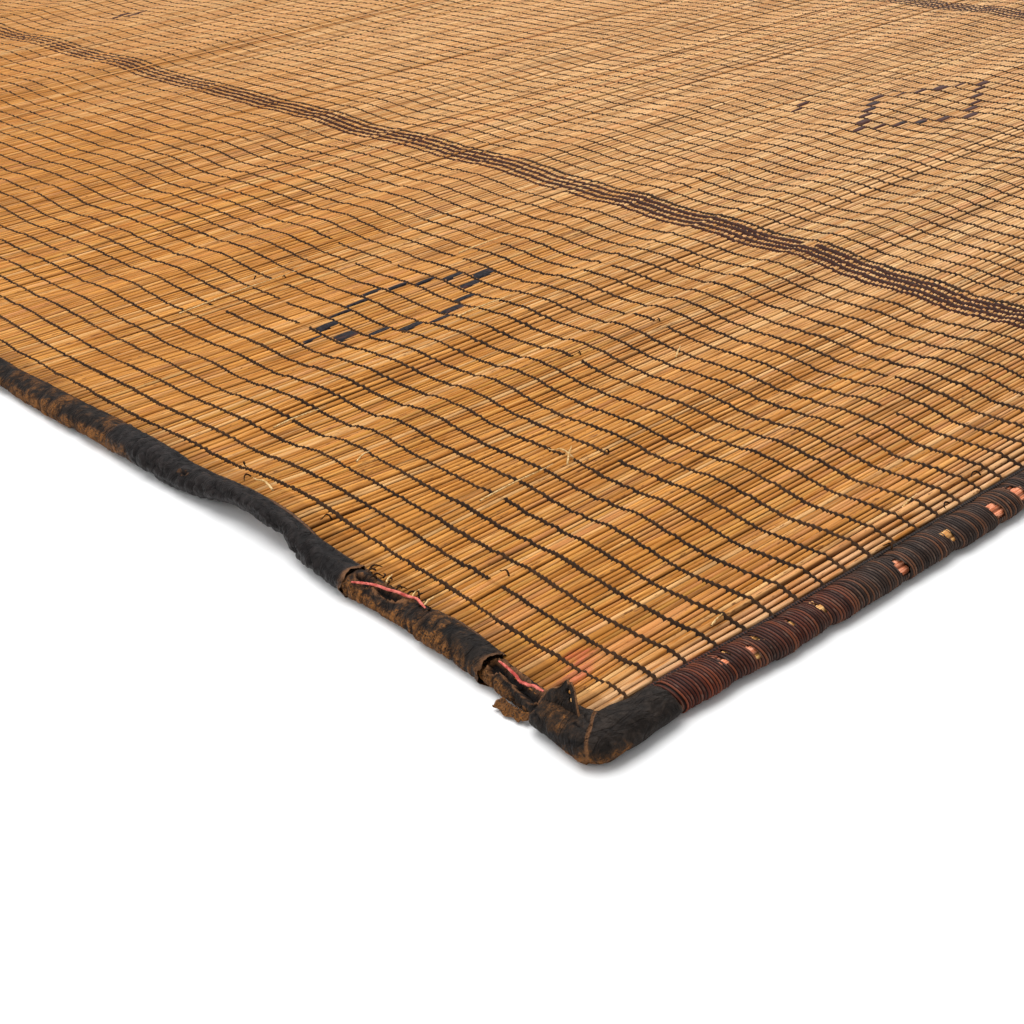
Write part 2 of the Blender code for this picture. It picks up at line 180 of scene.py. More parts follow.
# Loose ends of thong and splinters of reed: a start, its height, a length, a heading and a turn in
# degrees from the mat's across direction, and how far the middle lifts
Strand = namedtuple("Strand", "across along height length heading turn lift")
LOOSE_ENDS = [Strand(*row) for row in (
    (0.0044, 0.0979, 0.0106, 0.0033, -28.7, 136.9, 0.0007),
    (0.0042, 0.1024, 0.0107, 0.0040, 92.6, -96.6, 0.0015),
    (0.0067, 0.1028, 0.0105, 0.0037, -12.0, 147.8, 0.0013),
    (0.0077, 0.1075, 0.0103, 0.0049, 74.2, -84.9, 0.0010),
    (0.0079, 0.1083, 0.0111, 0.0047, 11.0, 140.1, 0.0015),
    (0.0061, 0.1128, 0.0106, 0.0048, 33.3, -92.7, 0.0007),
    (0.0043, 0.1154, 0.0107, 0.0062, 48.2, 158.1, 0.0006),
    (0.0043, 0.1178, 0.0111, 0.0050, 35.0, -109.8, 0.0013),
    (0.0063, 0.1197, 0.0111, 0.0031, -29.5, -98.8, 0.0011),
    (0.0045, 0.1237, 0.0111, 0.0038, -35.6, 157.6, 0.0015),
    (0.0071, 0.1266, 0.0112, 0.0029, 9.1, -168.5, 0.0009),
    (0.0066, 0.1293, 0.0110, 0.0038, -7.5, 100.9, 0.0007),
    (0.0047, 0.1311, 0.0108, 0.0040, 37.3, 169.7, 0.0008),
    (0.0044, 0.1331, 0.0112, 0.0042, -4.7, -68.7, 0.0013),
    (0.0081, 0.1365, 0.0108, 0.0047, 59.1, 199.7, 0.0005),
    (0.0072, 0.1391, 0.0106, 0.0062, 41.2, -121.4, 0.0010),
    (0.0420, 0.0950, 0.0102, 0.0060, 60.0, 50.0, 0.0022),
    (0.1560, 0.0010, 0.0100, 0.0055, 10.0, 140.0, 0.0022),
    (0.2000, 0.0060, 0.0104, 0.0060, 130.0, 120.0, 0.0016),
    (0.2280, 0.0110, 0.0104, 0.0060, 60.0, 170.0, 0.0020),
    (0.0170, 0.1790, 0.0140, 0.0054, 80.0, 100.0, 0.0030),
    (0.0120, 0.2330, 0.0170, 0.0054, 130.0, 120.0, 0.0026),
    (0.0180, 0.2480, 0.0160, 0.0042, 200.0, 90.0, 0.0022),
    (0.1420, 0.1440, 0.0092, 0.0027, 70.0, 30.0, 0.0014),
    (0.2080, 0.2340, 0.0092, 0.0027, 60.0, 40.0, 0.0016),
    (0.2650, 0.2340, 0.0092, 0.0027, 60.0, 40.0, 0.0016),
    (0.3400, 0.2760, 0.0080, 0.0054, 30.0, 160.0, 0.0020),
    (0.1600, 0.4690, 0.0080, 0.0048, 10.0, 60.0, 0.0020),
    (0.1740, 0.4560, 0.0080, 0.0030, 80.0, 40.0, 0.0016),
)]
SPLINTERS = [Strand(*row) for row in (
    (0.0720, 0.1490, 0.0112, 0.0430, 1.0, 3.0, 0.0010),
    (0.1200, 0.1470, 0.0104, 0.0180, 40.0, 4.0, 0.0040),
    (0.1260, 0.1500, 0.0104, 0.0150, 100.0, -8.0, 0.0040),
    (0.0050, 0.1010, 0.0112, 0.0070, 15.0, 8.0, 0.0010),
    (0.0055, 0.1090, 0.0112, 0.0060, 30.0, -8.0, 0.0010),
    (0.0050, 0.1250, 0.0114, 0.0060, 25.0, 10.0, 0.0010),
    (0.0100, 0.2120, 0.0186, 0.0160, 85.0, 6.0, 0.0030),
    (0.0560, 0.2160, 0.0130, 0.0120, 20.0, 6.0, 0.0016),
    (0.0500, 0.2750, 0.0130, 0.0300, 2.0, -2.0, 0.0008),
    (0.1000, 0.4530, 0.0090, 0.0900, 3.0, 2.0, 0.0010),
    (0.2650, 0.4040, 0.0090, 0.0500, 1.0, 1.0, 0.0008),
    (0.2000, 0.3240, 0.0090, 0.0400, 2.0, 1.0, 0.0008),
    (0.3540, 0.2500, 0.0080, 0.0300, 4.0, -3.0, 0.0010),
    (0.2380, 0.1960, 0.0080, 0.0150, 30.0, 10.0, 0.0020),
    (0.0700, 0.0150, 0.0098, 0.0100, 12.0, 8.0, 0.0010),
    (0.1850, 0.0180, 0.0098, 0.0140, 8.0, 8.0, 0.0012),
    (0.4550, 0.2300, 0.0070, 0.0500, 3.0, 2.0, 0.0012),
    (0.4850, 0.3860, 0.0070, 0.0120, 50.0, 10.0, 0.0020),
)]


def eased(share):
    """A share of the way from 0 to 1, eased at both ends."""
    return share * share * (3.0 - 2.0 * share)


def smooth_noise(x, y, seed):
    """Even noise from -1 to 1 over a lattice of whole numbers."""
    values = np.random.default_rng(seed).uniform(-1.0, 1.0, NOISE_VALUES)
    left, low = np.floor(x).astype(np.int64), np.floor(y).astype(np.int64)
    share_x, share_y = eased(x - left), eased(y - low)

    def corner(i, j):
        return values[(i * NOISE_STRIDES[0] + j * NOISE_STRIDES[1]) % NOISE_VALUES]

    near = corner(left, low) * (1.0 - share_x) + corner(left + 1, low) * share_x
    far = corner(left, low + 1) * (1.0 - share_x) + corner(left + 1, low + 1) * share_x
    return near * (1.0 - share_y) + far * share_y


def ramp(value, low, high):
    """An eased step from 0 at low to 1 at high."""
    return eased(np.clip((value - low) / (high - low), 0.0, 1.0))


def read_table(rows, place, column):
    """Values of a table's column at places between its rows."""
    along = [row[0] for row in rows]
    return np.interp(place, along, [getattr(row, column) for row in rows])


def world(across, along, height):
    """Points of the model from distances across and along and heights, on the last axis."""
    across, along, height = np.broadcast_arrays(across, along, height)
    return np.stack((across - MAT_WIDTH / 2.0, along - MAT_LENGTH / 2.0, height), axis=-1)


# Meshes


def grid_faces(rows, columns, closed=False):
    """Corner numbers of the quads between the rows of a grid of points."""
    numbers = np.arange(rows * columns).reshape(rows, columns)
    beside = np.roll(numbers, -1, axis=1)
    if not closed:
        numbers, beside = numbers[:, :-1], beside[:, :-1]
    quads = np.stack((numbers[:-1], beside[:-1], beside[1:], numbers[1:]), axis=-1)
    return quads.reshape(-1, 4)


def repeated(faces, count, step):
    """The same faces on each of a number of equal sets of corners."""
    return (faces[None] + (np.arange(count) * step)[:, None, None]).reshape(-1, faces.shape[1])


def add_marks(mesh, shape, marks):
    """Named values at the corners of a mesh whose grid has a shape."""
    for mark, values in marks.items():
        layer = mesh.attributes.new(mark, "FLOAT", "POINT")
        layer.data.foreach_set("value", np.broadcast_to(values, shape).astype(np.float32).ravel())


def build(name, corners, faces, finish, marks=None):
    """A smooth mesh from a grid of corners, its lists of faces and its named values at the corners."""
    corners = np.asarray(corners, dtype=np.float32)
    mesh = bpy.data.meshes.new(name)
    mesh.vertices.add(corners.size // 3)
    mesh.vertices.foreach_set("co", corners.ravel())
    corner_numbers = np.concatenate([part.ravel() for part in faces]).astype(np.int32)
    sizes = np.concatenate([np.full(len(part), part.shape[1]) for part in faces])
    mesh.loops.add(len(corner_numbers))
    mesh.loops.foreach_set("vertex_index", corner_numbers)
    mesh.polygons.add(len(sizes))
    starts = np.concatenate(([0], np.cumsum(sizes)[:-1])).astype(np.int32)
    mesh.polygons.foreach_set("loop_start", starts)
    mesh.update(calc_edges=True)
    mesh.validate()
    add_marks(mesh, corners.shape[:-1], marks or {})
    mesh.shade_smooth()
    mesh.materials.append(finish)
    return add_object(name, mesh)


def add_object(name, data):
    """A new object in the scene."""
    made = bpy.data.objects.new(name, data)
    bpy.context.scene.collection.objects.link(made)
    return made


def fit(piece, slot, *nodes):
    """Carry a piece on the mat's body and hide the solids that it stands for; the slot of its finish is not
    used.
    """
    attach(piece, "root")
    if nodes:
        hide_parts(*nodes)
    return piece


# Shader expressions


class Value:
    """A socket of a finish, on which Python's operators add Math nodes."""

    def __init__(self, finish, socket):
        self.finish = finish
        self.socket = socket

    def output(self, name):
        return Value(self.finish, self.socket.node.outputs[name])

    def __add__(self, other):
        return self.finish.math("ADD", self, other)

    def __sub__(self, other):
        return self.finish.math("SUBTRACT", self, other)

    def __rsub__(self, other):
        return self.finish.math("SUBTRACT", other, self)

    def __mul__(self, other):
        return self.finish.math("MULTIPLY", self, other)

    __radd__ = __add__
    __rmul__ = __mul__


class Finish:
    """A procedural finish: one Principled shader and the nodes that feed it."""

    def __init__(self, name, roughness=0.6, **constants):
        self.material = bpy.data.materials.new(name)
        self.material.use_nodes = True
        self.tree = self.material.node_tree
        self.shader = self.tree.nodes["Principled BSDF"]
        self.shader.inputs["Roughness"].default_value = roughness
        for socket, amount in constants.items():
            self.shader.inputs[socket.replace("_", " ")].default_value = amount
        self.place = self.node("ShaderNodeTexCoord", {}, {}, "Object")

    def node(self, kind, settings, sockets, output=0):
        """Add a node: its settings first, then the values or links of its sockets."""
        made = self.tree.nodes.new(kind)
        for setting, choice in settings.items():
            setattr(made, setting, choice)
        for name, given in sockets.items():
            if isinstance(given, Value):
                self.tree.links.new(given.socket, made.inputs[name])
            else:
                made.inputs[name].default_value = given
        return Value(self, made.outputs[output])

    def math(self, operation, first, second=0.0):
        return self.node("ShaderNodeMath", {"operation": operation}, {0: first, 1: second})

    def step(self, value, low, high):
        """An eased mask, 0 at low and 1 at high."""
        return self.node(
            "ShaderNodeMapRange",
            {"interpolation_type": "SMOOTHSTEP"},
            {"Value": value, "From Min": low, "From Max": high},
        )

    def near(self, value, centre, reach):
        """An eased mask, 1 at a centre and 0 past a reach on both sides."""
        return self.step(self.math("ABSOLUTE", value - centre), reach, 0.0)

    def mix(self, mask, first, second):
        """A colour between two."""
        settings = {"data_type": "RGBA"}
        given = {0: mask, 6: self.color(first), 7: self.color(second)}
        return self.node("ShaderNodeMix", settings, given, 2)

    def over(self, base, value, low, high, amount, colour):
        """A colour laid over a base, by an amount, as a value goes from low to high."""
        return self.mix(self.step(value, low, high) * amount, base, colour)

    def color(self, given):
        return given if isinstance(given, Value) else (*given, 1.0)

    def stretched(self, scale, place=None):
        """Coordinates, the object's own unless others are given, times a scale on each axis."""
        sockets = {0: place or self.place, 1: scale}
        return self.node("ShaderNodeVectorMath", {"operation": "MULTIPLY"}, sockets, "Vector")

    def noise(self, scale, detail=2.0, roughness=0.5, warp=0.0, place=None):
        """Noise from 0 to 1, its scale in cycles a metre on each axis."""
        scale = scale if isinstance(scale, tuple) else (scale,) * 3
        sockets = {"Vector": self.stretched(scale, place), "Scale": 1.0, "Detail": detail}
        sockets |= {"Roughness": roughness, "Distortion": warp}
        return self.node("ShaderNodeTexNoise", {}, sockets, 0)

    def mark(self, name):
        """A value that is named at the mesh's corners."""
        return self.node("ShaderNodeAttribute", {"attribute_name": name}, {}, "Fac")

    def marks(self, *names):
        """Several values that are named at the mesh's corners."""
        return (self.mark(name) for name in names)

    def axes(self):
        """Distances across and along, and the height."""
        split = self.node("ShaderNodeSeparateXYZ", {}, {0: self.place}, "X")
        return split + MAT_WIDTH / 2.0, split.output("Y") + MAT_LENGTH / 2.0, split.output("Z")

    def done(self, base, roughness=None, height=None, depth=0.0003):
        """Join the surface's colour, roughness and bump, whose depth is in metres."""
        self.tree.links.new(base.socket, self.shader.inputs["Base Color"])
        if roughness is not None:
            self.tree.links.new(roughness.socket, self.shader.inputs["Roughness"])
        if height is not None:
            sockets = {"Height": height, "Distance": depth, "Strength": 1.0}
            bump = self.node("ShaderNodeBump", {}, sockets, 0)
            self.tree.links.new(bump.socket, self.shader.inputs["Normal"])
        return self.material


def reed_finish():
    """Split-fine reed: golden by the corner and paler farther in, streaked along its length."""
    reed = Finish("reed_finish", 0.55, Specular_IOR_Level=0.14)
    across, along, _ = reed.axes()
    tone, hue, cream, shaded_flank, count = reed.marks("tone", "hue", "cream", "shaded_flank", "line_count")
    # A lane follows one reed, so that its streaks run along it
    lane = reed.node("ShaderNodeCombineXYZ", {}, {0: across, 1: reed.mark("lane"), 2: 0.0})
    patch = reed.noise((24.0, 230.0, 1.0), 3.0, 0.6, place=lane)
    broad = reed.noise((6.0, 14.0, 14.0), 3.0, 0.6)
    streak = reed.noise((22.0, 1500.0, 1.0), 3.0, 0.65, place=lane)
    fibre = reed.noise((90.0, 3200.0, 1.0), 2.0, 0.6, place=lane)
    gold = reed.mix(reed.step(patch, 0.34, 0.66), (0.40, 0.142, 0.015), (0.68, 0.300, 0.060))
    pale = reed.mix(reed.step(patch, 0.34, 0.66), (0.56, 0.270, 0.086), (0.78, 0.460, 0.205))
    away = across - along * 0.10 + broad * 0.34 + tone * 0.06
    base = reed.mix(reed.step(away, 0.30, 0.72), gold, pale)
    # Browner far along, then the pale, dark, rosy and green reeds
    base = reed.over(base, along - across * 0.6, 0.42, 1.00, 0.30, (0.36, 0.140, 0.024))
    base = reed.over(base, tone + patch * 0.5, 1.05, 1.30, 0.50, (0.78, 0.510, 0.235))
    base = reed.over(base, tone - patch * 0.5, 0.02, -0.18, 0.60, (0.36, 0.135, 0.016))
    base = reed.over(base, hue + patch * 0.6, 1.14, 1.34, 0.34, (0.54, 0.170, 0.035))
    base = reed.over(base, hue - patch * 0.6, -0.12, -0.32, 0.28, (0.36, 0.205, 0.026))
    base = reed.mix(cream * reed.step(patch, 0.34, 0.60) * 0.66, base, (0.76, 0.490, 0.280))
    # Pale and dark streaks, and the darker splits
    base = reed.over(base, streak, 0.56, 0.74, 0.52, (0.80, 0.530, 0.255))
    base = reed.over(base, streak, 0.45, 0.27, 0.75, (0.24, 0.082, 0.009))
    split = reed.noise((14.0, 2300.0, 1.0), 2.0, 0.6, place=lane)
    base = reed.over(base, split, 0.40, 0.28, 0.70, (0.15, 0.050, 0.007))
    # Stains of the red leather dye beside the near left corner, broken up from reed to reed
    spread = reed.noise((70.0, 700.0, 1.0), 3.0, 0.65, place=lane)
    stain = reed.near(across, 0.027, 0.024) * reed.near(along, 0.039, 0.014)
    stain = stain + reed.near(across, 0.050, 0.050) * reed.near(along, 0.006, 0.007) * 1.3
    stain = stain + reed.near(across, 0.015, 0.020) * reed.near(along, 0.030, 0.008)
    stain = stain * (spread * 1.4 + streak * 0.6)
    base = reed.over(base, stain, 0.62, 1.15, 0.66, (0.60, 0.085, 0.060))
    rosy = reed.noise((14.0, 160.0, 160.0), 2.0, 0.5) + reed.near(along, 0.0, 0.20) * 0.10
    base = reed.over(base, rosy, 0.56, 0.72, 0.34, (0.62, 0.265, 0.115))
    # Brown scuffs in clusters, painted shade on a reed under each thong, and painted shade on its flanks
    # beside the next reed
    cluster = reed.noise((30.0, 60.0, 60.0), 2.0, 0.5)
    specks = reed.noise((170.0, 900.0, 1.0), 2.0, 0.6, place=lane)
    base = reed.over(base, specks + cluster * 0.45, 0.86, 0.96, 0.80, (0.16, 0.055, 0.012))
    # Painted shade on a reed under each thong
    phase = reed.math("FRACT", count + 0.5) - 0.5
    base = reed.mix(reed.near(phase, 0.0, 0.12) * 0.35, base, (0.16, 0.060, 0.010))
    # Painted shade on the reed's flanks, in the gaps between reeds
    joint = reed.noise((24.0, 300.0, 300.0), 2.0, 0.5)
    base = reed.over(base, shaded_flank + (joint - 0.5) * 0.9, 0.42, 1.02, 0.90, (0.075, 0.025, 0.004))
    return reed.done(base, 0.46 + fibre * 0.22, streak * 0.65 + fibre * 0.35, 0.0004)


def thong_finish():
    """Twisted leather thong, with a painted highlight on its crests, redder in the dark bands."""
    thong = Finish("thong_finish", 0.60, Specular_IOR_Level=0.05)
    crest, tint = thong.marks("crest", "tint")
    grain = thong.noise((700.0, 900.0, 900.0), 3.0, 0.6)
    broad = thong.noise((60.0, 45.0, 60.0), 2.0, 0.5)
    dark, light = (0.018, 0.0080, 0.0035), (0.054, 0.024, 0.0090)
    base = thong.mix(thong.step(broad + grain * 0.3, 0.50, 0.85) * 0.7, dark, light)
    # Painted highlight on the crest of each bead
    base = thong.mix(crest * thong.step(grain, 0.42, 0.68) * 0.50, base, (0.082, 0.044, 0.022))
    red = thong.mix(thong.step(grain, 0.48, 0.74), (0.030, 0.0085, 0.005), (0.125, 0.034, 0.018))
    base = thong.over(base, tint, 0.55, 1.0, 0.75, red)
    return thong.done(base, 0.45 + grain * 0.25, grain, 0.0004)


def stitch_finish():
    """Flat blue-black leather of the lozenges' stitches."""
    strip = Finish("stitch_finish", 0.55, Specular_IOR_Level=0.07)
    grain = strip.noise((500.0, 700.0, 500.0), 3.0, 0.6)
    worn = strip.noise((90.0, 160.0, 90.0), 2.0, 0.5)
    base = strip.mix(strip.step(grain, 0.40, 0.70), (0.009, 0.008, 0.010), (0.032, 0.028, 0.032))
    base = strip.over(base, worn + strip.mark("red") * 0.3, 0.55, 0.75, 0.8, (0.075, 0.026, 0.018))
    return strip.done(base, 0.45 + grain * 0.25, grain, 0.0004)


def straw_finish():
    """Pale splinters of reed."""
    straw = Finish("straw_finish", 0.55, Specular_IOR_Level=0.25)
    streak = straw.noise((900.0, 900.0, 900.0), 2.0, 0.6)
    base = straw.mix(straw.step(streak, 0.35, 0.65), (0.46, 0.250, 0.065), (0.80, 0.560, 0.270))
    return straw.done(base, 0.50 + streak * 0.15, streak, 0.0002)


def leather_finish(leather):
    """Worn leather: rings of fine creases with painted shade in them, rubbed brown on crests, cracks and
    rims, and painted shade in torn places.
    """
    shine, wear_from = leather.shine, leather.wear_from
    hide = Finish(leather.slot + "_finish", shine, Specular_IOR_Level=0.075)
    wear, rim, torn_hollow_shade, fold = hide.marks("wear", "rim", "torn_hollow_shade", "fold")
    broad = hide.noise((42.0, 42.0, 60.0), 4.0, 0.62, 0.4)
    mottle = hide.noise((240.0, 260.0, 240.0), 4.0, 0.7, 0.5)
    fine = hide.noise(1500.0, 3.0, 0.65)
    folds = hide.noise((90.0, leather.rings, 90.0), 2.0, 0.5, 0.8)
    crease = 1.0 - hide.near(folds, 0.50, 0.10)
    vein = hide.near(hide.noise((150.0, 210.0, 150.0), 3.0, 0.65, 0.8), 0.50, 0.035)
    lighter = tuple(2.6 * part for part in leather.plain)
    base = hide.mix(hide.step(mottle + folds * 0.3, 0.50, 0.86), leather.plain, lighter)
    rubbed = broad * 0.52 + mottle * 0.42 + wear * 0.26 + fold * 0.12
    rubbed = hide.step(rubbed, wear_from, wear_from + 0.15)
    base = hide.mix(rubbed * hide.step(fine, 0.34, 0.60) * 0.85, base, leather.worn)
    orange = mottle * 0.5 + broad * 0.45 + wear * 0.24 + fold * 0.12
    orange = hide.step(orange, wear_from + 0.08, wear_from + 0.20)
    orange = orange * hide.step(fine + folds * 0.4, 0.55, 0.85)
    base = hide.mix(orange * 0.80, base, (0.270, 0.105, 0.026))
    cracked = hide.step(broad * 0.6 + wear * 0.5, wear_from - 0.12, wear_from + 0.12)
    base = hide.mix(vein * cracked * 0.70, base, (0.230, 0.100, 0.035))
    # Painted shade in the creases and between the folds
    base = hide.mix((1.0 - crease) * 0.40 + (1.0 - fold) * 0.50, base, (0.006, 0.005, 0.005))
    base = hide.mix(rim * hide.step(fine + mottle, 0.70, 1.05) * 0.85, base, (0.230, 0.105, 0.045))
    # Painted shade deep in the torn places
    base = hide.mix(torn_hollow_shade, base, (0.006, 0.004, 0.0035))
    relief = crease * 0.32 + mottle * 0.50 + fine * 0.16 + vein * 0.12
    return hide.done(base, shine - 0.10 + fine * 0.25 + rubbed * 0.20, relief, 0.0009)


def wrap_finish():
    """Fine thong wound side by side round the end rods, red-brown by the corner and then near black, with a
    painted highlight on the crests and painted shade in the grooves.
    """
    wrap = Finish("wrap_finish", 0.42, Specular_IOR_Level=0.12)
    across, _, _ = wrap.axes()
    tone, crest = wrap.marks("tone", "crest")
    grain = wrap.noise((700.0, 260.0, 260.0), 3.0, 0.6)
    broad = wrap.noise((28.0, 30.0, 30.0), 3.0, 0.5)
    red = wrap.step(across + broad * 0.34, 0.320, 0.150)
    dark = wrap.mix(tone, (0.022, 0.0125, 0.009), (0.066, 0.041, 0.031))
    brown = wrap.mix(tone, (0.060, 0.022, 0.011), (0.165, 0.064, 0.028))
    dark = wrap.over(dark, tone + broad * 0.6, 0.92, 1.14, 0.7, brown)
    rusty = wrap.mix(tone, (0.048, 0.010, 0.006), (0.185, 0.038, 0.015))
    base = wrap.mix(red, dark, rusty)
    # Painted highlight on the wraps' grain and crests
    base = wrap.over(base, grain + crest * 0.25, 0.72, 0.95, 0.40, (0.205, 0.140, 0.105))
    # Painted shade in the grooves between wraps
    base = wrap.over(base, crest, 0.95, 0.30, 0.97, (0.004, 0.003, 0.003))
    return wrap.done(base, 0.36 + grain * 0.25, crest * 0.7 + grain * 0.3, 0.0004)


def core_finish():
    """Dyed rods that show between the wraps: salmon, with a few golden ones, and painted shade between the
    strands.
    """
    core = Finish("rod_core_finish", 0.5, Specular_IOR_Level=0.15)
    gold, crest = core.marks("gold", "crest")
    streak = core.noise((120.0, 1300.0, 1300.0), 3.0, 0.6)
    salmon = core.mix(core.step(streak, 0.35, 0.65), (0.58, 0.145, 0.052), (0.96, 0.410, 0.240))
    golden = core.mix(core.step(streak, 0.35, 0.65), (0.52, 0.210, 0.050), (0.84, 0.500, 0.200))
    base = core.mix(core.step(gold, 0.4, 0.6), salmon, golden)
    # Painted shade between the strands
    base = core.over(base, crest, 0.80, 0.30, 0.95, (0.045, 0.010, 0.005))
    return core.done(base, 0.4 + streak * 0.2, streak, 0.0003)


def pink_finish():
    """Twisted pink piping."""
    pink = Finish("pink_piping_finish", 0.7, Specular_IOR_Level=0.15)
    twist = pink.noise((500.0, 260.0, 500.0), 3.0, 0.6)
    base = pink.mix(pink.step(twist, 0.38, 0.62), (0.40, 0.055, 0.042), (0.72, 0.190, 0.145))
    return pink.done(base, 0.6 + twist * 0.2, twist, 0.0006)


def floor_finish():
    """Plain pale studio paper."""
    paper = Finish("floor_finish", 0.9, Specular_IOR_Level=0.1)
    tooth = paper.noise(90.0, 2.0, 0.5)
    return paper.done(paper.mix(tooth, (0.90, 0.90, 0.90), (0.92, 0.92, 0.92)))


# Shapes read from the solids


def spots_of(node):
    """The corner points of a solid."""
    mesh = frame["nodes"][node].data
    spots = np.empty(len(mesh.vertices) * 3, dtype=np.float32)
    mesh.vertices.foreach_get("co", spots)
    return spots.reshape(-1, 3).astype(float)


# Columns of a roll's sections, after the place
LEAST, GREATEST, FOOT, TOP = 1, 2, 3, 4


def roll_sections(node, axis):
    """A roll's sections along an axis: the place, the least and greatest sideways, the foot and the top."""
    spots = spots_of(node)
    other = 1 - axis
    half = (MAT_WIDTH, MAT_LENGTH)
    rows = []
    for station in np.unique(np.round(spots[:, axis], 5)):
        ring = spots[np.abs(spots[:, axis] - station) < SECTION_MARGIN]
        low, high = ring[:, other].min(), ring[:, other].max()
        rows.append((station + half[axis] / 2, low + half[other] / 2, high + half[other] / 2,
                     ring[:, 2].min(), ring[:, 2].max()))
    return np.array(rows)


def read_sections(rows, station, column, less=None):
    """A column of a roll's sections between its rows, or its difference from another column."""
    values = rows[:, column] if less is None else rows[:, column] - rows[:, less]
    return np.interp(station, rows[:, 0], values)


LEFT_SLEEVES = ("sleeve_left_torn", "sleeve_left_dark", "sleeve_left_patched",
                "sleeve_left_black", "sleeve_left_suede", "sleeve_left_rear")
RIGHT_SLEEVES = ("sleeve_right_front", "sleeve_right_middle", "sleeve_right_rear")
SECTIONS = {name: roll_sections(name, 1) for name in LEFT_SLEEVES + RIGHT_SLEEVES}
SECTIONS |= {name: roll_sections(name, 0) for name in ("rod_near", "rod_far")}
LEFT_EDGE = np.concatenate([SECTIONS[name][:, [0, 2]] for name in LEFT_SLEEVES])
RIGHT_EDGE = np.concatenate([SECTIONS[name][:, [0, 1]] for name in RIGHT_SLEEVES])


def left_end(along):
    """Across distance of the left reed ends, on the inner face of the binding."""
    return np.interp(along, LEFT_EDGE[:, 0], LEFT_EDGE[:, 1])


def right_end(along):
    """Across distance of the right reed ends."""
    return np.interp(along, RIGHT_EDGE[:, 0], RIGHT_EDGE[:, 1])


def rod_line(across):
    """Distance along the mat of the near rod's inner face, which the far one mirrors."""
    return read_sections(SECTIONS["rod_near"], across, GREATEST)


def bowed(across, along):
    """Distance along of a point of the sheet, where the first reeds follow the bowed rods."""
    from_end = np.minimum(along, MAT_LENGTH - along) - CORNER_ALONG - GAP
    bow = (rod_line(across) - CORNER_ALONG) * np.clip(1.0 - from_end / BOW_DEPTH, 0.0, 1.0)
    return np.where(along < MAT_LENGTH / 2.0, along + bow, along - bow)


class Field:
    """The reeds' middle height over the floor, read from the top of their solid and eased."""

    ACROSS = (0.010, 0.020, 0.042, 0.060, 0.080, 0.120, 0.160, 0.230, 0.300, 0.395, 0.490, 0.600, 0.704)
    STEP = 0.003
    SPREAD = 2.0
    REACH = 6
    TOP_TO_MIDDLE = 0.0021

    def __init__(self):
        solid = frame["nodes"]["reed_field"].data
        tree = BVHTree.FromPolygons([v.co for v in solid.vertices], [p.vertices for p in solid.polygons])
        side = np.array(self.ACROSS)
        self.across = np.concatenate((side, MAT_WIDTH - side[-2::-1]))
        self.along = np.arange(CORNER_ALONG + 0.002, MAT_LENGTH - CORNER_ALONG - 0.002, self.STEP)
        rows = []
        for along in self.along:
            row = []
            for across in self.across:
                spot = Vector(world(across, bowed(across, along), 1.0).tolist())
                hit = tree.ray_cast(spot, Vector((0.0, 0.0, -1.0)))[0]
                row.append(hit.z if hit else np.nan)
            rows.append(row)
        heights = np.array(rows)
        for column in heights.T:
            missing = np.isnan(column)
            column[missing] = np.interp(self.along[missing], self.along[~missing], column[~missing])
        reach = np.arange(-self.REACH, self.REACH + 1)
        weights = np.exp(-0.5 * (reach / self.SPREAD) ** 2)
        padded = np.pad(heights, ((self.REACH, self.REACH), (0, 0)), mode="edge")
        starts = reach + self.REACH
        total = sum(w * padded[s:s + len(heights)] for w, s in zip(weights, starts))
        self.heights = total / weights.sum() - self.TOP_TO_MIDDLE

    def __call__(self, across, along):
        across, along = np.broadcast_arrays(across, along)
        column = np.clip(np.searchsorted(self.across, across) - 1, 0, len(self.across) - 2)
        spacing = self.across[column + 1] - self.across[column]
        beside = np.clip((across - self.across[column]) / spacing, 0, 1)
        steps = np.clip((along - self.along[0]) / self.STEP, 0, len(self.along) - 1.001)
        before = steps.astype(int)
        after = steps - before

        def between_columns(row):
            return self.heights[row, column] * (1 - beside) + self.heights[row, column + 1] * beside

        height = between_columns(before) * (1 - after) + between_columns(before + 1) * after
        return np.maximum(height + ripple(across, along), LOWEST_MIDDLE)


def ripple(across, along):
    """Height of the sheet's small ridges, which run across it and fade toward its sides."""
    last = RIPPLES[-1].along
    near = read_table(RIPPLES, along, "rise")
    beyond = 0.0015 * smooth_noise(along / 0.034, across / 0.5, 13)
    rise = near + (beyond - near) * ramp(along, last - 0.02, last)
    from_side = np.minimum(across, MAT_WIDTH - across)
    fade = ramp(from_side, 0.020, 0.090) * (1.0 - 0.45 * ramp(from_side, 0.22, 0.45))
    return rise * fade * ramp(MAT_LENGTH - along, 0.02, 0.10)


field = Field()


# Thong lines


def thong_lines():
    """Across distances and widths of the thong lines, from the left of the mat to its right."""
    half = [(FIRST_LINE + LINE_PITCH * number, THONG_WIDTH) for number in range(SIDE_LINES)]
    half += [(BAND_CENTRE + band.offset, band.width) for band in BAND_LINES]
    start = BAND_CENTRE + BAND_LINES[-1].offset + BAND_TO_LINE
    half += [(start + MIDDLE_PITCH * number, THONG_WIDTH) for number in range(MIDDLE_LINES)]
    right = [(MAT_WIDTH - across, width) for across, width in half[::-1]]
    return np.array(half + right)


LINES = thong_lines()


def lean(across, along):
    """How far a thong line strays across from its place, near the rods and on the left of the mat."""
    from_rod = np.minimum(along, MAT_LENGTH - along)
    start = read_table(LEANS, from_rod, "start")
    pitch = read_table(LEANS, from_rod, "pitch")
    shift = start - FIRST_LINE + (pitch / LINE_PITCH - 1.0) * (across - FIRST_LINE)
    return shift * ramp(across, 1.05, 0.45)


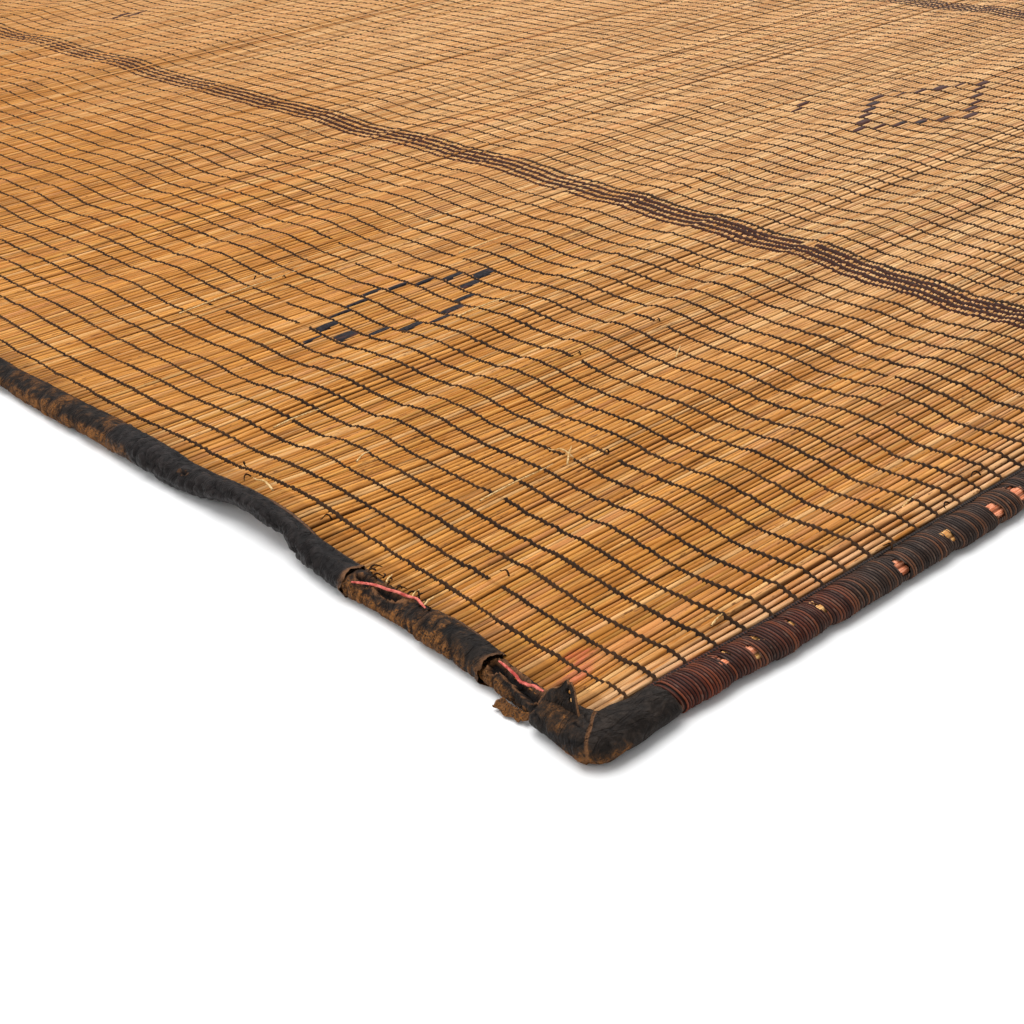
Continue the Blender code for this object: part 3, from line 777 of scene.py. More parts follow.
def stray(line, along):
    """The small wander of a line, as the twined thong was pulled up by hand."""
    slow = 0.0006 * smooth_noise(along / 0.024, line, 11)
    return slow + 0.0003 * smooth_noise(along / 0.0075, line, 12)


def line_count(across, along):
    """A running count of thong lines across the mat, whole on each line."""
    return np.interp(across - lean(across, along), LINES[:, 0], np.arange(len(LINES)))


# Reeds


def reed_rows():
    """The reeds' middles and gaps along the mat, their widths, half heights and lifts, all uneven."""
    first = CORNER_ALONG + GAP
    span = MAT_LENGTH - 2.0 * first
    count = round(span / REED_PITCH)
    chance = np.random.default_rng(5)
    widths = np.clip(np.exp(REED_UNEVEN * chance.standard_normal(count)), 0.60, 1.60)
    widths[:REEDS_BY_ROD] = 1.05
    widths[-REEDS_BY_ROD:] = 1.05
    widths *= span / widths.sum()
    ends = first + np.cumsum(widths)
    halves = REED_HALF_HEIGHT * np.clip(0.55 + 0.45 * widths / REED_PITCH, 0.75, 1.18)
    lifts = 0.00022 * np.clip(chance.standard_normal(count), -1.5, 1.5)
    return ends - widths / 2.0, widths, ends, halves, lifts


REED_MIDDLES, REED_WIDTHS, REED_GAPS, REED_HALVES, REED_LIFTS = reed_rows()


def reed_place(rows, across):
    """A reed's middle along and over the floor at a place across, and how much it swells there."""
    middle = REED_MIDDLES[rows]
    along = bowed(across, middle) + 0.0009 * smooth_noise(across / 0.09, middle / 0.05, 21)
    along = along + 0.0004 * smooth_noise(across / 0.07, middle / 0.0029, 24)
    height = field(across, middle) + REED_LIFTS[rows]
    height = height + 0.00016 * smooth_noise(across / 0.10, middle / 0.003, 22)
    swell = 1.0 + 0.10 * smooth_noise(across / 0.13, middle / 0.0028, 23)
    return along, height, swell


def make_reeds(finish):
    """Every reed as a closed six-sided tube, bent with the sheet and tucked into the binding."""
    rows = np.arange(1, len(REED_MIDDLES) - 1)[:, None]
    middles, widths, halves = REED_MIDDLES[rows], REED_WIDTHS[rows], REED_HALVES[rows]
    count = len(rows)
    chance = np.random.default_rng(6)
    half = np.array(REED_PLACES)
    places = np.concatenate((half, [MAT_WIDTH / 2.0], MAT_WIDTH - half[::-1]))[None, :]
    across = np.broadcast_to(places, (count, places.shape[1])).copy()
    across[:, 0] = left_end(middles[:, 0]) - REED_TUCK
    across[:, -1] = right_end(middles[:, 0]) + REED_TUCK
    across[:, 1] = across[:, 0] + REED_END + REED_TUCK
    across[:, -2] = across[:, -1] - REED_END - REED_TUCK
    along, height, swell = reed_place(rows, across)
    turns = 2.0 * np.pi * (np.arange(REED_SIDES) + 0.5) / REED_SIDES + np.pi / 6.0
    sideways = (widths * REED_FILL / 2.0 * swell)[..., None] * np.cos(turns)
    upward = (halves * swell)[..., None] * np.sin(turns)
    corners = world(across[..., None], along[..., None] + sideways, height[..., None] + upward)
    rings = across.shape[1]
    quads = repeated(grid_faces(rings, REED_SIDES, closed=True), count, rings * REED_SIDES)
    last = (rings - 1) * REED_SIDES
    caps = np.array([[3, 2, 1, 0], [5, 4, 3, 0], [last, last + 1, last + 2, last + 3],
                     [last, last + 3, last + 4, last + 5]])
    caps = repeated(caps, count, rings * REED_SIDES)
    from_end = np.minimum(np.arange(count), count - 1 - np.arange(count))
    cream = np.clip((REEDS_BY_ROD - from_end) / 3.0, 0.0, 1.0)
    marks = {
        "tone": chance.uniform(0.0, 1.0, count)[:, None, None],
        "hue": chance.uniform(0.0, 1.0, count)[:, None, None],
        "cream": cream[:, None, None],
        # How far a point faces the next reed, where the finish paints shade
        "shaded_flank": np.abs(np.cos(turns)),
        "line_count": line_count(across, middles)[..., None],
        "lane": LANE_PITCH * rows[..., None] + sideways,
    }
    reeds = build("reeds", corners, [quads, caps], finish, marks)
    return fit(reeds, "reed", "reed_field")


# Thongs over and under the reeds

# Detail of the thongs: up to a distance along, the points of a section and the stations at each reed
Detail = namedtuple("Detail", "name start end sections stations")
DETAILS = (
    Detail("thongs_near", 0.0, 0.42, (-0.5, -0.2, 0.2, 0.5), 2),
    Detail("thongs_middle", 0.42, 0.94, (-0.5, 0.0, 0.5), 2),
    Detail("thongs_far", 0.94, MAT_LENGTH, (-0.5, 0.0, 0.5), 1),
)


def in_break(numbers, along):
    """Whether a place on a numbered line falls in one of the worn-through stretches."""
    missing = np.zeros(np.broadcast(numbers, along).shape, dtype=bool)
    for gap in BREAKS:
        missing |= (numbers == gap.line) & (np.abs(along - gap.along) < gap.length / 2.0)
    return missing


def make_thongs(detail, finish):
    """Twined thongs over a stretch of the mat: a bead on each reed, a notch between two reeds."""
    chosen = np.flatnonzero((REED_MIDDLES >= detail.start) & (REED_MIDDLES < detail.end))
    chosen = chosen if detail.end < MAT_LENGTH else chosen[:-1]
    rows = np.repeat(chosen, 2)[None, :]
    dip = np.tile((0.0, 1.0), len(chosen))[None, :]
    if detail.stations == 1:
        rows, dip = rows[:, ::3], dip[:, ::3]
    in_gap = dip > 0.5
    line_place, width = LINES[:, 0][:, None], LINES[:, 1][:, None]
    numbers = np.arange(len(LINES))[:, None]
    along = np.where(in_gap, REED_GAPS[rows], REED_MIDDLES[rows])
    centre = line_place + lean(line_place, along) + stray(numbers * STRAY_STEP, along)
    here, height, swell = reed_place(rows, centre)
    beyond, next_height, next_swell = reed_place(rows + 1, centre)
    top = height + REED_CROWN * REED_HALVES[rows] * swell
    next_top = next_height + REED_CROWN * REED_HALVES[rows + 1] * next_swell
    joint = (here + REED_WIDTHS[rows] / 2.0 + beyond - REED_WIDTHS[rows + 1] / 2.0) / 2.0
    run = np.where(in_gap, joint, here)
    top = np.where(in_gap, (top + next_top) / 2.0, top)
    uneven = 1.0 + 0.20 * smooth_noise(along / 0.012, numbers * 3.1, 31)
    bead = 1.0 + 0.12 * smooth_noise(along / 0.0028, numbers * 5.7, 32)
    parts = np.array(detail.sections)
    edge = np.abs(parts) >= 0.5
    thick = (width > 0.003)[..., None]
    # The edges step in and out at each gap, as the two thongs cross there
    tooth = 0.00062 * dip * (width / THONG_WIDTH) ** 0.5
    tooth = tooth * (1.0 + 0.5 * smooth_noise(along / 0.0031, numbers * 2.3, 34))
    offset = parts * (width * uneven * bead)[..., None]
    offset = offset - np.where(parts <= -0.5, tooth[..., None], 0.0)
    offset = offset + np.where((parts >= 0.5) & thick, (0.7 * tooth)[..., None], 0.0)
    across = centre[..., None] + 0.0001 * (1.0 - 2.0 * dip[..., None]) + offset
    rise = THONG_RISE * uneven * (1.0 - 0.15 * dip)
    height = (top + 0.00006 - 0.00040 * dip)[..., None] + np.where(edge, 0.0, rise[..., None])
    height = height - np.where(edge, 0.00045 * dip[..., None], 0.0)
    corners = world(across, run[..., None], height)
    lines, stations, points = corners.shape[:3]
    whole = repeated(grid_faces(stations, points), lines, stations * points)
    gone = in_break(numbers, along)
    gone = np.repeat((gone[:, :-1] | gone[:, 1:]).ravel(), points - 1)
    tint = np.where(thick[..., 0], 0.95, 0.35 * smooth_noise(along / 0.1, numbers * 1.7, 33))
    marks = {"crest": np.where(edge, 0.0, 1.0 - 0.8 * dip[..., None]), "tint": tint[..., None]}
    piece = build(detail.name, corners, [whole[~gone]], finish, marks)
    return fit(piece, "wrapped_thong")


def make_thongs_under(finish):
    """The other half of each pair of thongs, under the reeds."""
    along = REED_GAPS[:-1:3][None, :]
    line_place = LINES[:, 0][:, None]
    numbers = np.arange(len(LINES))[:, None]
    centre = line_place + lean(line_place, along) + stray(numbers * STRAY_STEP, along)
    across = centre[..., None] + np.array((-0.5, 0.5)) * LINES[:, 1][:, None, None]
    height = np.maximum(field(centre, along) - REED_HALF_HEIGHT - 0.0004, LOWEST)[..., None]
    corners = world(across, bowed(across, along[..., None]), height)
    lines, stations, points = corners.shape[:3]
    faces = repeated(grid_faces(stations, points)[:, ::-1], lines, stations * points)
    piece = build("thongs_under", corners, [faces], finish, PLAIN_THONG)
    return fit(piece, "wrapped_thong")


def make_stitches(finish):
    """The lozenges' stitches: flat strips laid over one reed or two, from one thong line to the next."""
    inward = np.array((0.0, 0.10, 0.30, 0.50, 0.70, 0.90, 1.0))
    over = np.array((0.0, 0.12, 0.35, 0.65, 0.88, 1.0))[:, None]
    line = np.array([stitch.line for stitch in STITCHES])
    along = np.array([stitch.along for stitch in STITCHES])
    half = np.array([stitch.width for stitch in STITCHES]) / 2.0 + 0.0003
    low = REED_GAPS[np.abs(REED_GAPS[:, None] - (along - half)).argmin(axis=0)]
    high = REED_GAPS[np.abs(REED_GAPS[:, None] - (along + half)).argmin(axis=0)]
    high = np.maximum(high, low + 0.0022)
    left, right = (LINES[row, 0] + lean(LINES[row, 0], along) + 0.0004 for row in (line, line + 1))
    left, right, low, high, line = (given[:, None, None] for given in (left, right, low, high, line))
    across = left + (right - left) * inward + 0.0005 * smooth_noise(over * 4.0, line * 3.7 + inward, 36)
    station = low + (high - low) * over + 0.0011 * (inward - 0.4)
    station = station + 0.0003 * smooth_noise(inward * 5.0, line * 2.9 + over, 37)
    ends = 1.0 - ramp(np.abs(inward - 0.5), 0.36, 0.50)
    edge = 1.0 - ramp(np.abs(over - 0.5), 0.34, 0.50)
    rise = REED_HALF_HEIGHT * REED_CROWN + 0.0007 - 0.0009 * (1.0 - ends) - 0.0011 * (1.0 - edge)
    corners = world(across, bowed(across, station), field(across, station) + rise)
    count, rows, columns = corners.shape[:3]
    faces = repeated(grid_faces(rows, columns), count, rows * columns)
    marks = {"red": np.where(line > LAST_BLUE_LINE, 1.0, 0.0)}
    piece = build("lozenge_stitches", corners, [faces], finish, marks)
    return fit(piece, "black_leather")


def make_strands(name, strands, radius, finish, slot):
    """Thin loose strands: a route that turns as it runs and lifts in its middle, and tapers off."""
    points, stations = 5, 8
    run = np.linspace(0.0, 1.0, stations)
    turns = 2.0 * np.pi * np.arange(points) / points
    thick = (radius * (1.0 - 0.65 * run ** 2))[:, None]
    beside = thick * np.cos(turns)
    corners = []
    for strand in strands:
        heading = np.radians(strand.heading + strand.turn * run)
        step = strand.length / (stations - 1)
        across = strand.across + step * np.cumsum(np.cos(heading)) - step * math.cos(heading[0])
        along = strand.along + step * np.cumsum(np.sin(heading)) - step * math.sin(heading[0])
        height = strand.height + 0.6 * strand.lift * np.sin(np.pi * np.minimum(run * 1.25, 1.0))
        sideways = across[:, None] - np.sin(heading)[:, None] * beside
        forward = along[:, None] + np.cos(heading)[:, None] * beside
        corners.append(world(sideways, forward, height[:, None] + thick * np.sin(turns)))
    faces = repeated(grid_faces(stations, points, closed=True), len(strands), stations * points)
    return fit(build(name, corners, [faces], finish, PLAIN_THONG), slot)


# Leather sleeves


def roll_points(reach, height, count):
    """A roll's section: outward distances, heights and the turn of each point up from its outer side."""
    turns = ROLL_TURN * (2.0 * np.arange(count) / (count - 1) - 1.0)
    centre = reach * ROLL_CENTRE
    outward = centre[:, None] + (reach - centre)[:, None] * np.cos(turns)
    rise = height[:, None] * (1.0 + np.sin(turns)) / 2.0
    outward[:, 0] = 0.0
    outward[:, -1] = 0.0
    return outward, rise, turns


def off_edges(turns):
    """True on a roll's round part and false on its two inner edges, which stay where they are."""
    return np.abs(turns) < ROLL_TURN - 0.01


# How each sleeve looks: its finish, the spacing of its mesh, its wrinkles, its wear, how far its near
# end curls up, and how far its two ends tuck in under the wider sleeves beside it
Look = namedtuple("Look", "finish step points wrinkle spacing wear curl tuck_near tuck_far")
SLEEVE_LOOKS = {
    "sleeve_left_torn": Look("worn", 0.0007, 40, 0.0008, 0.0050, 0.60, 0.0, 0.003, 0.004),
    "sleeve_left_dark": Look("worn", 0.0008, 38, 0.0007, 0.0050, 0.60, 0.0007, 0.0, 0.0),
    "sleeve_left_patched": Look("suede", 0.0008, 40, 0.0006, 0.0045, 1.00, 0.0, 0.004, 0.004),
    "sleeve_left_black": Look("black", 0.0010, 36, 0.0011, 0.0066, 0.02, 0.0010, 0.0, 0.0),
    "sleeve_left_suede": Look("suede", 0.0024, 28, 0.0008, 0.0080, 1.00, 0.0, 0.004, 0.003),
    "sleeve_left_rear": Look("black", 0.0060, 18, 0.0005, 0.0140, 0.20, 0.0, 0.0, 0.003),
    "sleeve_right_front": Look("black", 0.0035, 18, 0.0005, 0.0120, 0.20, 0.0, 0.003, 0.0),
    "sleeve_right_middle": Look("suede", 0.0050, 18, 0.0005, 0.0140, 0.50, 0.0, 0.003, 0.003),
    "sleeve_right_rear": Look("black", 0.0060, 18, 0.0005, 0.0140, 0.20, 0.0, 0.0, 0.003),
}

# A sleeve's mesh is made smaller where it tucks in under the next one, and its ends are torn unevenly
# if its mesh is finer than a step
TUCKED_SMALLER = 0.0006
TORN_STEP = 0.003

# The leathers: their slots, plain and worn colours, where wear begins, roughness and rings of creases
Leather = namedtuple("Leather", "slot plain worn wear_from shine rings")
LEATHERS = {
    "black": Leather(
        "black_leather", (0.0105, 0.0082, 0.0078), (0.070, 0.038, 0.019), 0.80, 0.38, 200.0),
    "worn": Leather(
        "worn_leather", (0.0125, 0.0092, 0.0074), (0.090, 0.043, 0.018), 0.64, 0.52, 240.0),
    "suede": Leather(
        "suede_leather", (0.0165, 0.0120, 0.0098), (0.125, 0.056, 0.022), 0.60, 0.65, 220.0),
}

# Routes of the pink piping that shows through the torn places, as points across and along
CORDS = {
    "piping_corner": (
        (0.0005, 0.0275), (-0.0004, 0.0330), (-0.0010, 0.0377), (0.0001, 0.0443), (0.0012, 0.0530)),
    "piping_middle": (
        (0.0036, 0.0975), (0.0053, 0.1068), (0.0024, 0.1185), (0.0010, 0.1290), (-0.0036, 0.1370)),
}

# The seam strip's start and end along, and those of its torn part
SEAM_SPAN = (0.0580, 0.3340)
SEAM_TORN = (0.1000, 0.1410)

# Torn places of the left binding: along, half length, turn from the outer side up, half width, depth
Tear = namedtuple("Tear", "node along half_along turn half_turn depth")
TEARS = (
    Tear("sleeve_left_torn", 0.0330, 0.0085, 88.0, 38.0, 0.0038),
    Tear("sleeve_left_torn", 0.0450, 0.0080, 98.0, 32.0, 0.0034),
    Tear("sleeve_left_torn", 0.0530, 0.0035, 80.0, 34.0, 0.0026),
    Tear("sleeve_left_patched", 0.1200, 0.0090, 92.0, 34.0, 0.0036),
    Tear("sleeve_left_patched", 0.1340, 0.0050, 84.0, 24.0, 0.0024),
    Tear("sleeve_left_black", 0.2700, 0.0030, 64.0, 10.0, 0.0022),
)


def tear_depth(node, along, turns):
    """How deep the leather is torn open, and where the edge of a tear curls up."""
    depth = np.zeros(np.broadcast(along, turns).shape)
    rim = np.zeros_like(depth)
    ragged = 0.26 * smooth_noise(along / 0.0016, turns * 8.0, 41)
    ragged = ragged + 0.16 * smooth_noise(along / 0.004, turns * 4.0, 42)
    for tear in TEARS:
        if tear.node != node:
            continue
        turned = (np.degrees(turns) - tear.turn) / tear.half_turn
        away = np.hypot((along - tear.along) / tear.half_along, turned) + ragged
        depth = np.maximum(depth, tear.depth * ramp(away, 1.06, 0.86))
        rim = np.maximum(rim, ramp(away, 1.34, 1.12) * ramp(away, 0.92, 1.06))
    return depth, rim


def make_sleeve(node, look, finish):
    """A leather sleeve on its solid's line, with creases across it, curled ends and its tears."""
    rows = SECTIONS[node]
    left = node in LEFT_SLEEVES
    start, end = rows[0, 0] - look.tuck_near, rows[-1, 0] + look.tuck_far
    steps = max(8, int(round((end - start) / look.step)))
    along = np.linspace(start, end, steps + 1)
    inside = np.clip(along, rows[0, 0], rows[-1, 0])
    shrink = TUCKED_SMALLER * ((along < rows[0, 0]) | (along > rows[-1, 0]))
    inner = read_sections(rows, inside, GREATEST if left else LEAST)[:, None]
    reach = read_sections(rows, inside, GREATEST, LEAST) - shrink
    low = read_sections(rows, inside, FOOT)[:, None]
    height = read_sections(rows, inside, TOP, FOOT) - shrink
    outward, rise, turns = roll_points(reach, height, look.points)
    from_start, from_end = (along - start)[:, None], (end - along)[:, None]
    along = along[:, None]
    seed = 50 + list(SLEEVE_LOOKS).index(node) * 5
    # Creases run across the sleeve on a bent line, large and small, between shallow dents
    bend = 0.0022 * np.cos(turns * 1.3) + 0.0012 * smooth_noise(along / 0.02, turns * 1.1, seed)
    crease = smooth_noise((along + bend) / look.spacing, turns * 0.7, seed + 1)
    small = smooth_noise((along + 1.4 * bend) / (0.42 * look.spacing), turns * 1.3, seed + 2)
    dents = smooth_noise(along / 0.016, turns * 1.6, seed + 3)
    push = -look.wrinkle * (1.0 - np.abs(crease)) ** 4
    push = push - 0.6 * look.wrinkle * (1.0 - np.abs(small)) ** 3
    push = push + 0.7 * look.wrinkle * dents
    # The near end curls up and the far end a little
    uneven = 0.7 + 0.3 * smooth_noise(turns * 3.0, 0.0, seed + 4)
    near_lip = ramp(along - along[0], 0.0030 + 0.0008 * uneven, 0.0008)
    near_lip = near_lip * uneven * min(look.curl * 1000.0, 1.0)
    far_lip = ramp(along[-1] - along, 0.0022, 0.0006) * uneven * 0.5
    push = push + look.curl * near_lip * 1.2 + 0.0003 * far_lip
    depth, rim = tear_depth(node, along, turns)
    push = push - depth + 0.0006 * rim
    flat = np.sin(turns) * height.mean(), np.cos(turns) * reach.mean()
    size = np.hypot(*flat)
    outward = outward + push * flat[1] / size * off_edges(turns)
    rise = np.maximum(rise + push * flat[0] / size, LOWEST)
    # Both ends are torn a little unevenly
    torn = smooth_noise(turns * 2.6, 0.0, seed + 4) + 0.4 * smooth_noise(turns * 7.0, 0.0, seed + 3)
    shift = 0.0011 * ramp(from_start, 0.006, 0.0) * torn - 0.0006 * ramp(from_end, 0.006, 0.0) * torn
    across = inner - outward if left else inner + outward
    corners = world(across, along + shift * (look.step < TORN_STEP), rise + low)
    faces = grid_faces(steps + 1, look.points, closed=True)
    lower = 1.0 - ramp(np.sin(turns), 0.05, 0.97)
    worn = np.maximum(look.wear, 1.5 * ramp(from_end, 0.050, 0.004))
    # Marks for the finish: wear, fold (low in the creases, where the finish paints shade), light rims, and
    # painted shade in deep tears
    marks = {
        "wear": worn * (0.30 + 0.70 * lower) + 0.25 * np.maximum(dents, 0.0),
        "fold": ramp(np.abs(crease), 0.03, 0.34) * ramp(np.abs(small), 0.0, 0.22),
        "rim": np.maximum(np.maximum(rim, near_lip), far_lip * 0.6),
        "torn_hollow_shade": ramp(depth, 0.0010, 0.0026),
    }
    name = node.replace("sleeve", "leather")
    piece = build(name, corners, [faces[:, ::-1] if left else faces], finish, marks)
    return fit(piece, LEATHERS[look.finish].slot, node)


def make_seam(finish):
    """The flat strip along the inner edge of the black and dark sleeves, with its row of light stitches."""
    points = 7
    along = np.arange(*SEAM_SPAN, 0.0010)[:, None]
    turns = np.linspace(-0.2 * np.pi, 1.1 * np.pi, points)
    beside = left_end(along) + 0.0009 + 0.0006 * smooth_noise(along / 0.011, 0.0, 61)
    across = beside + 0.0013 * np.cos(turns)
    uneven = 1.0 + 0.25 * smooth_noise(along / 0.002, turns, 62)
    height = field(across, along) + 0.0014 + 0.0007 * np.sin(turns) * uneven
    corners = world(across, along, height)
    faces = grid_faces(*corners.shape[:2])[:, ::-1]
    torn = ((along > SEAM_TORN[0]) & (along < SEAM_TORN[1]))[:-1, 0]
    faces = faces[~np.repeat(torn, points - 1)]
    light = (np.arange(points) == points // 2) * 0.8
    marks = {"wear": 0.0, "rim": light, "torn_hollow_shade": 0.0, "fold": 1.0}
    return fit(build("seam_strip", corners, [faces], finish, marks), "black_leather")


def make_cord(node, route, finish):
    """Twisted two-strand piping along a route over its solid."""
    solid_spots = spots_of(node) + (MAT_WIDTH / 2.0, MAT_LENGTH / 2.0, 0.0)
    heights = []
    for across, along in route:
        away = np.hypot(solid_spots[:, 0] - across, solid_spots[:, 1] - along)
        heights.append(solid_spots[np.argsort(away)[:8], 2].mean())
    stations, points = 90, 10
    run = np.linspace(0.0, len(route) - 1.0, stations)
    numbers = np.arange(len(route))
    given = (*np.array(route).T, heights)
    middle = np.stack([np.interp(run, numbers, values) for values in given], axis=1)
    for _ in range(30):
        middle[1:-1] = 0.25 * middle[:-2] + 0.5 * middle[1:-1] + 0.25 * middle[2:]
    middle[:, 0] += 0.0004 * smooth_noise(run * 2.3, 0.0, 65)
    turns = 2.0 * np.pi * np.arange(points) / points
    twist = 2.0 * np.pi * run[:, None] * 2.2
    radius = 0.00044 + 0.00016 * np.abs(np.cos(turns - twist))
    radius = radius + 0.00006 * smooth_noise(run * 3.0, 0.0, 66)[:, None]
    radius = radius * (0.55 + 0.45 * ramp(np.minimum(run, run[-1] - run), 0.0, 0.5))[:, None]
    heading = np.gradient(middle, axis=0)
    beside = np.stack((heading[:, 1], -heading[:, 0], np.zeros(stations)), axis=1)
    beside /= np.linalg.norm(beside, axis=1, keepdims=True)
    surface = middle[:, None] + (radius * np.cos(turns))[..., None] * beside[:, None]
    surface = surface + (radius * np.sin(turns))[..., None] * np.array((0.0, 0.0, 1.0))
    corners = world(surface[..., 0], surface[..., 1], surface[..., 2])
    faces = grid_faces(stations, points, closed=True)[:, ::-1]
    return fit(build("cord_" + node, corners, [faces], finish), "pink_piping", node)


def make_flap(flap, finish):
    """A torn flap of leather: rows of two edge points from its root to its tip, with a torn rim."""
    wide, tall = 22, 18
    side = np.linspace(0.0, 1.0, wide)[None, :, None]
    up = np.linspace(0.0, 1.0, tall)
    rows = np.array(flap.rows)
    steps = np.linspace(0.0, 1.0, len(rows))
    left, right = (
        np.array([np.interp(up, steps, rows[:, edge, axis]) for axis in range(3)]).T[:, None, :]
        for edge in range(2)
    )
    tear = 1.0 - flap.ragged * (0.5 + 0.5 * smooth_noise(side[..., 0] * 6.0, 0.0, 63))[..., None]
    spots = left + (right - left) * side
    root = spots[:1]
    spots = root + (spots - root) * tear
    spots = spots + 0.0005 * smooth_noise(side * 5.0, up[:, None, None] * 4.0, 64)
    normal = np.cross(np.gradient(spots, axis=1), np.gradient(spots, axis=0))
    normal /= np.maximum(np.linalg.norm(normal, axis=-1, keepdims=True), 1e-9)
    both = np.stack((spots + normal * flap.thickness / 2, spots - normal * flap.thickness / 2))
    both[..., 2] = np.maximum(both[..., 2], 0.0003)
    corners = world(both[..., 0], both[..., 1], both[..., 2])
    middle_up = (np.arange(tall - 1) + 0.5)[:, None] / (tall - 1)
    middle_side = (np.arange(wide - 1) + 0.5)[None, :] / (wide - 1)
    gone = np.zeros((tall - 1, wide - 1), dtype=bool)
    for hole_side, hole_up, radius in flap.holes:
        gone |= np.hypot(middle_side - hole_side, (middle_up - hole_up)) < radius
    faces = grid_faces(tall, wide)[~gone.ravel()]
    count = wide * tall
    numbers = np.arange(count).reshape(tall, wide)
    border = np.concatenate((numbers[0], numbers[1:, -1], numbers[-1, -2::-1], numbers[-2:0:-1, 0]))
    beside = np.roll(border, -1)
    walls = np.stack((border, border + count, beside + count, beside), axis=-1)
    rim = np.zeros((tall, wide))
    rim[-1] = rim[:, 0] = rim[:, -1] = 0.9
    marks = {"wear": flap.wear, "rim": rim, "torn_hollow_shade": 0.0, "fold": 1.0}
    piece = build(flap.name, corners, [faces, faces[:, ::-1] + count, walls], finish, marks)
    return fit(piece, flap.slot, flap.node)


# Corner caps


def make_cap(node, finish, levels):
    """A corner cap: its solid's form made fine, then creased and dented."""
    piece = add_object(node.replace("cap", "leather_cap"), frame["nodes"][node].data.copy())
    weld = piece.modifiers.new("join", "WELD")
    weld.merge_threshold = WELD_REACH
    finer = piece.modifiers.new("finer", "SUBSURF")
    finer.levels = finer.render_levels = levels
    graph = bpy.context.evaluated_depsgraph_get()
    fine = bpy.data.meshes.new_from_object(piece.evaluated_get(graph))
    piece.modifiers.clear()
    piece.data = fine
    count = len(fine.vertices)
    spots, normals = np.empty(count * 3, np.float32), np.empty(count * 3, np.float32)
    fine.vertices.foreach_get("co", spots)
    fine.vertices.foreach_get("normal", normals)
    spots, normals = spots.reshape(-1, 3).astype(float), normals.reshape(-1, 3)
    across, along = spots[:, 0] + MAT_WIDTH / 2, spots[:, 1] + MAT_LENGTH / 2
    from_side = np.minimum(across, MAT_WIDTH - across) - CORNER_ACROSS
    from_rod = np.minimum(along, MAT_LENGTH - along) - CORNER_ALONG
    round_corner = np.arctan2(from_rod, from_side) * 0.012
    height = spots[:, 2]
    crease = smooth_noise((from_side + from_rod + round_corner) / 0.0050, height / 0.006, 91)
    small = smooth_noise((from_side - from_rod) / 0.0026, height / 0.004, 92)
    dents = smooth_noise(from_side / 0.007, from_rod / 0.006, 93)
    sleeve_leg = ramp(from_rod - from_side, -0.002, 0.008)
    push = -0.0009 * (1.0 - np.abs(crease)) ** 4 - 0.0004 * (1.0 - np.abs(small)) ** 3
    push = push * (0.35 + 0.65 * sleeve_leg) + 0.0005 * dents
    # A fold of the sleeve leg's leather that ends in a seam over the rod leg
    fold = from_rod - 0.75 * from_side - 0.0005
    fold = fold + 0.0009 * smooth_noise(height / 0.0035, from_side / 0.004, 94)
    push = push + 0.0007 * ramp(fold, -0.0008, 0.0004) * (1.0 - 0.5 * ramp(fold, 0.002, 0.010))
    spots += normals * push[:, None]
    spots[:, 2] = height = np.maximum(spots[:, 2], LOWEST)
    fine.vertices.foreach_set("co", spots.astype(np.float32).ravel())
    tip = ramp(-from_side - from_rod, 0.002, 0.009) * ramp(height, 0.0130, 0.0050)
    tip = tip * ramp(from_side, 0.005, -0.001)
    ends = np.maximum(ramp(from_rod, 0.0185, 0.0202), ramp(from_side, 0.0262, 0.0278))
    seam = ramp(np.abs(fold + 0.0004), 0.0009, 0.0003) * ramp(height, 0.003, 0.006)
    # The fold mark is low in the sleeve leg's creases, where the finish paints shade
    add_marks(fine, count, {
        "wear": 0.32 * sleeve_leg + 0.62 * tip - 0.40 * (1.0 - sleeve_leg) * (1.0 - tip),
        "rim": np.maximum(ends * 0.8, seam * 0.8),
        "torn_hollow_shade": 0.0,
        "fold": 1.0 - sleeve_leg * (1.0 - ramp(np.abs(crease), 0.03, 0.30)),
    })
    fine.shade_smooth()
    fine.materials.clear()
    fine.materials.append(finish)
    return fit(piece, "black_leather", node)


# End rods

# Where the wraps part on the near rod: its place across, its width, its share of golden strands, and
# the middle and the half of the turn that it spans, in degrees up from the outer side
Slit = namedtuple("Slit", "across length gold turn half_turn")
SLITS = [Slit(*row) for row in (
    (0.0575, 0.0022, 0.0, 80.0, 34.0), (0.0615, 0.0018, 1.0, 108.0, 26.0),
    (0.0690, 0.0032, 0.6, 60.0, 44.0), (0.0750, 0.0022, 0.7, 98.0, 30.0),
    (0.0912, 0.0020, 0.5, 88.0, 30.0), (0.1065, 0.0028, 0.8, 72.0, 36.0),
    (0.1500, 0.0056, 0.3, 40.0, 50.0), (0.1810, 0.0044, 1.0, 58.0, 36.0),
    (0.2105, 0.0066, 0.0, 44.0, 48.0), (0.2275, 0.0062, 0.0, 64.0, 46.0),
    (0.2620, 0.0044, 0.6, 60.0, 44.0), (0.3010, 0.0056, 0.2, 58.0, 48.0),
    (0.3650, 0.0062, 0.5, 50.0, 50.0), (0.4700, 0.0056, 0.0, 60.0, 46.0),
    (0.6200, 0.0062, 0.4, 60.0, 50.0),
)]
WRAP_PITCH = 0.00142
WRAP_RELIEF = 0.00036
# How far the wraps run in under the caps, and where the thin inner rows begin
ROD_TUCK = 0.004
INNER_ROW_START = 0.0290
# How far the wraps sink beside a slit, and how far from it they begin to
SLIT_SINK = 0.0007
SLIT_REACH = 0.0055
# How far the dyed strands run on past a slit, and how round they are
CORE_LAP = 0.0012
CORE_BULGE = 0.0013
# Phases of a wrap from groove to groove, and how far each stands out
WRAP_PHASES = (0.0, 0.22, 0.50, 0.78)
WRAP_STANDS = (-0.9, 0.55, 1.0, 0.55)


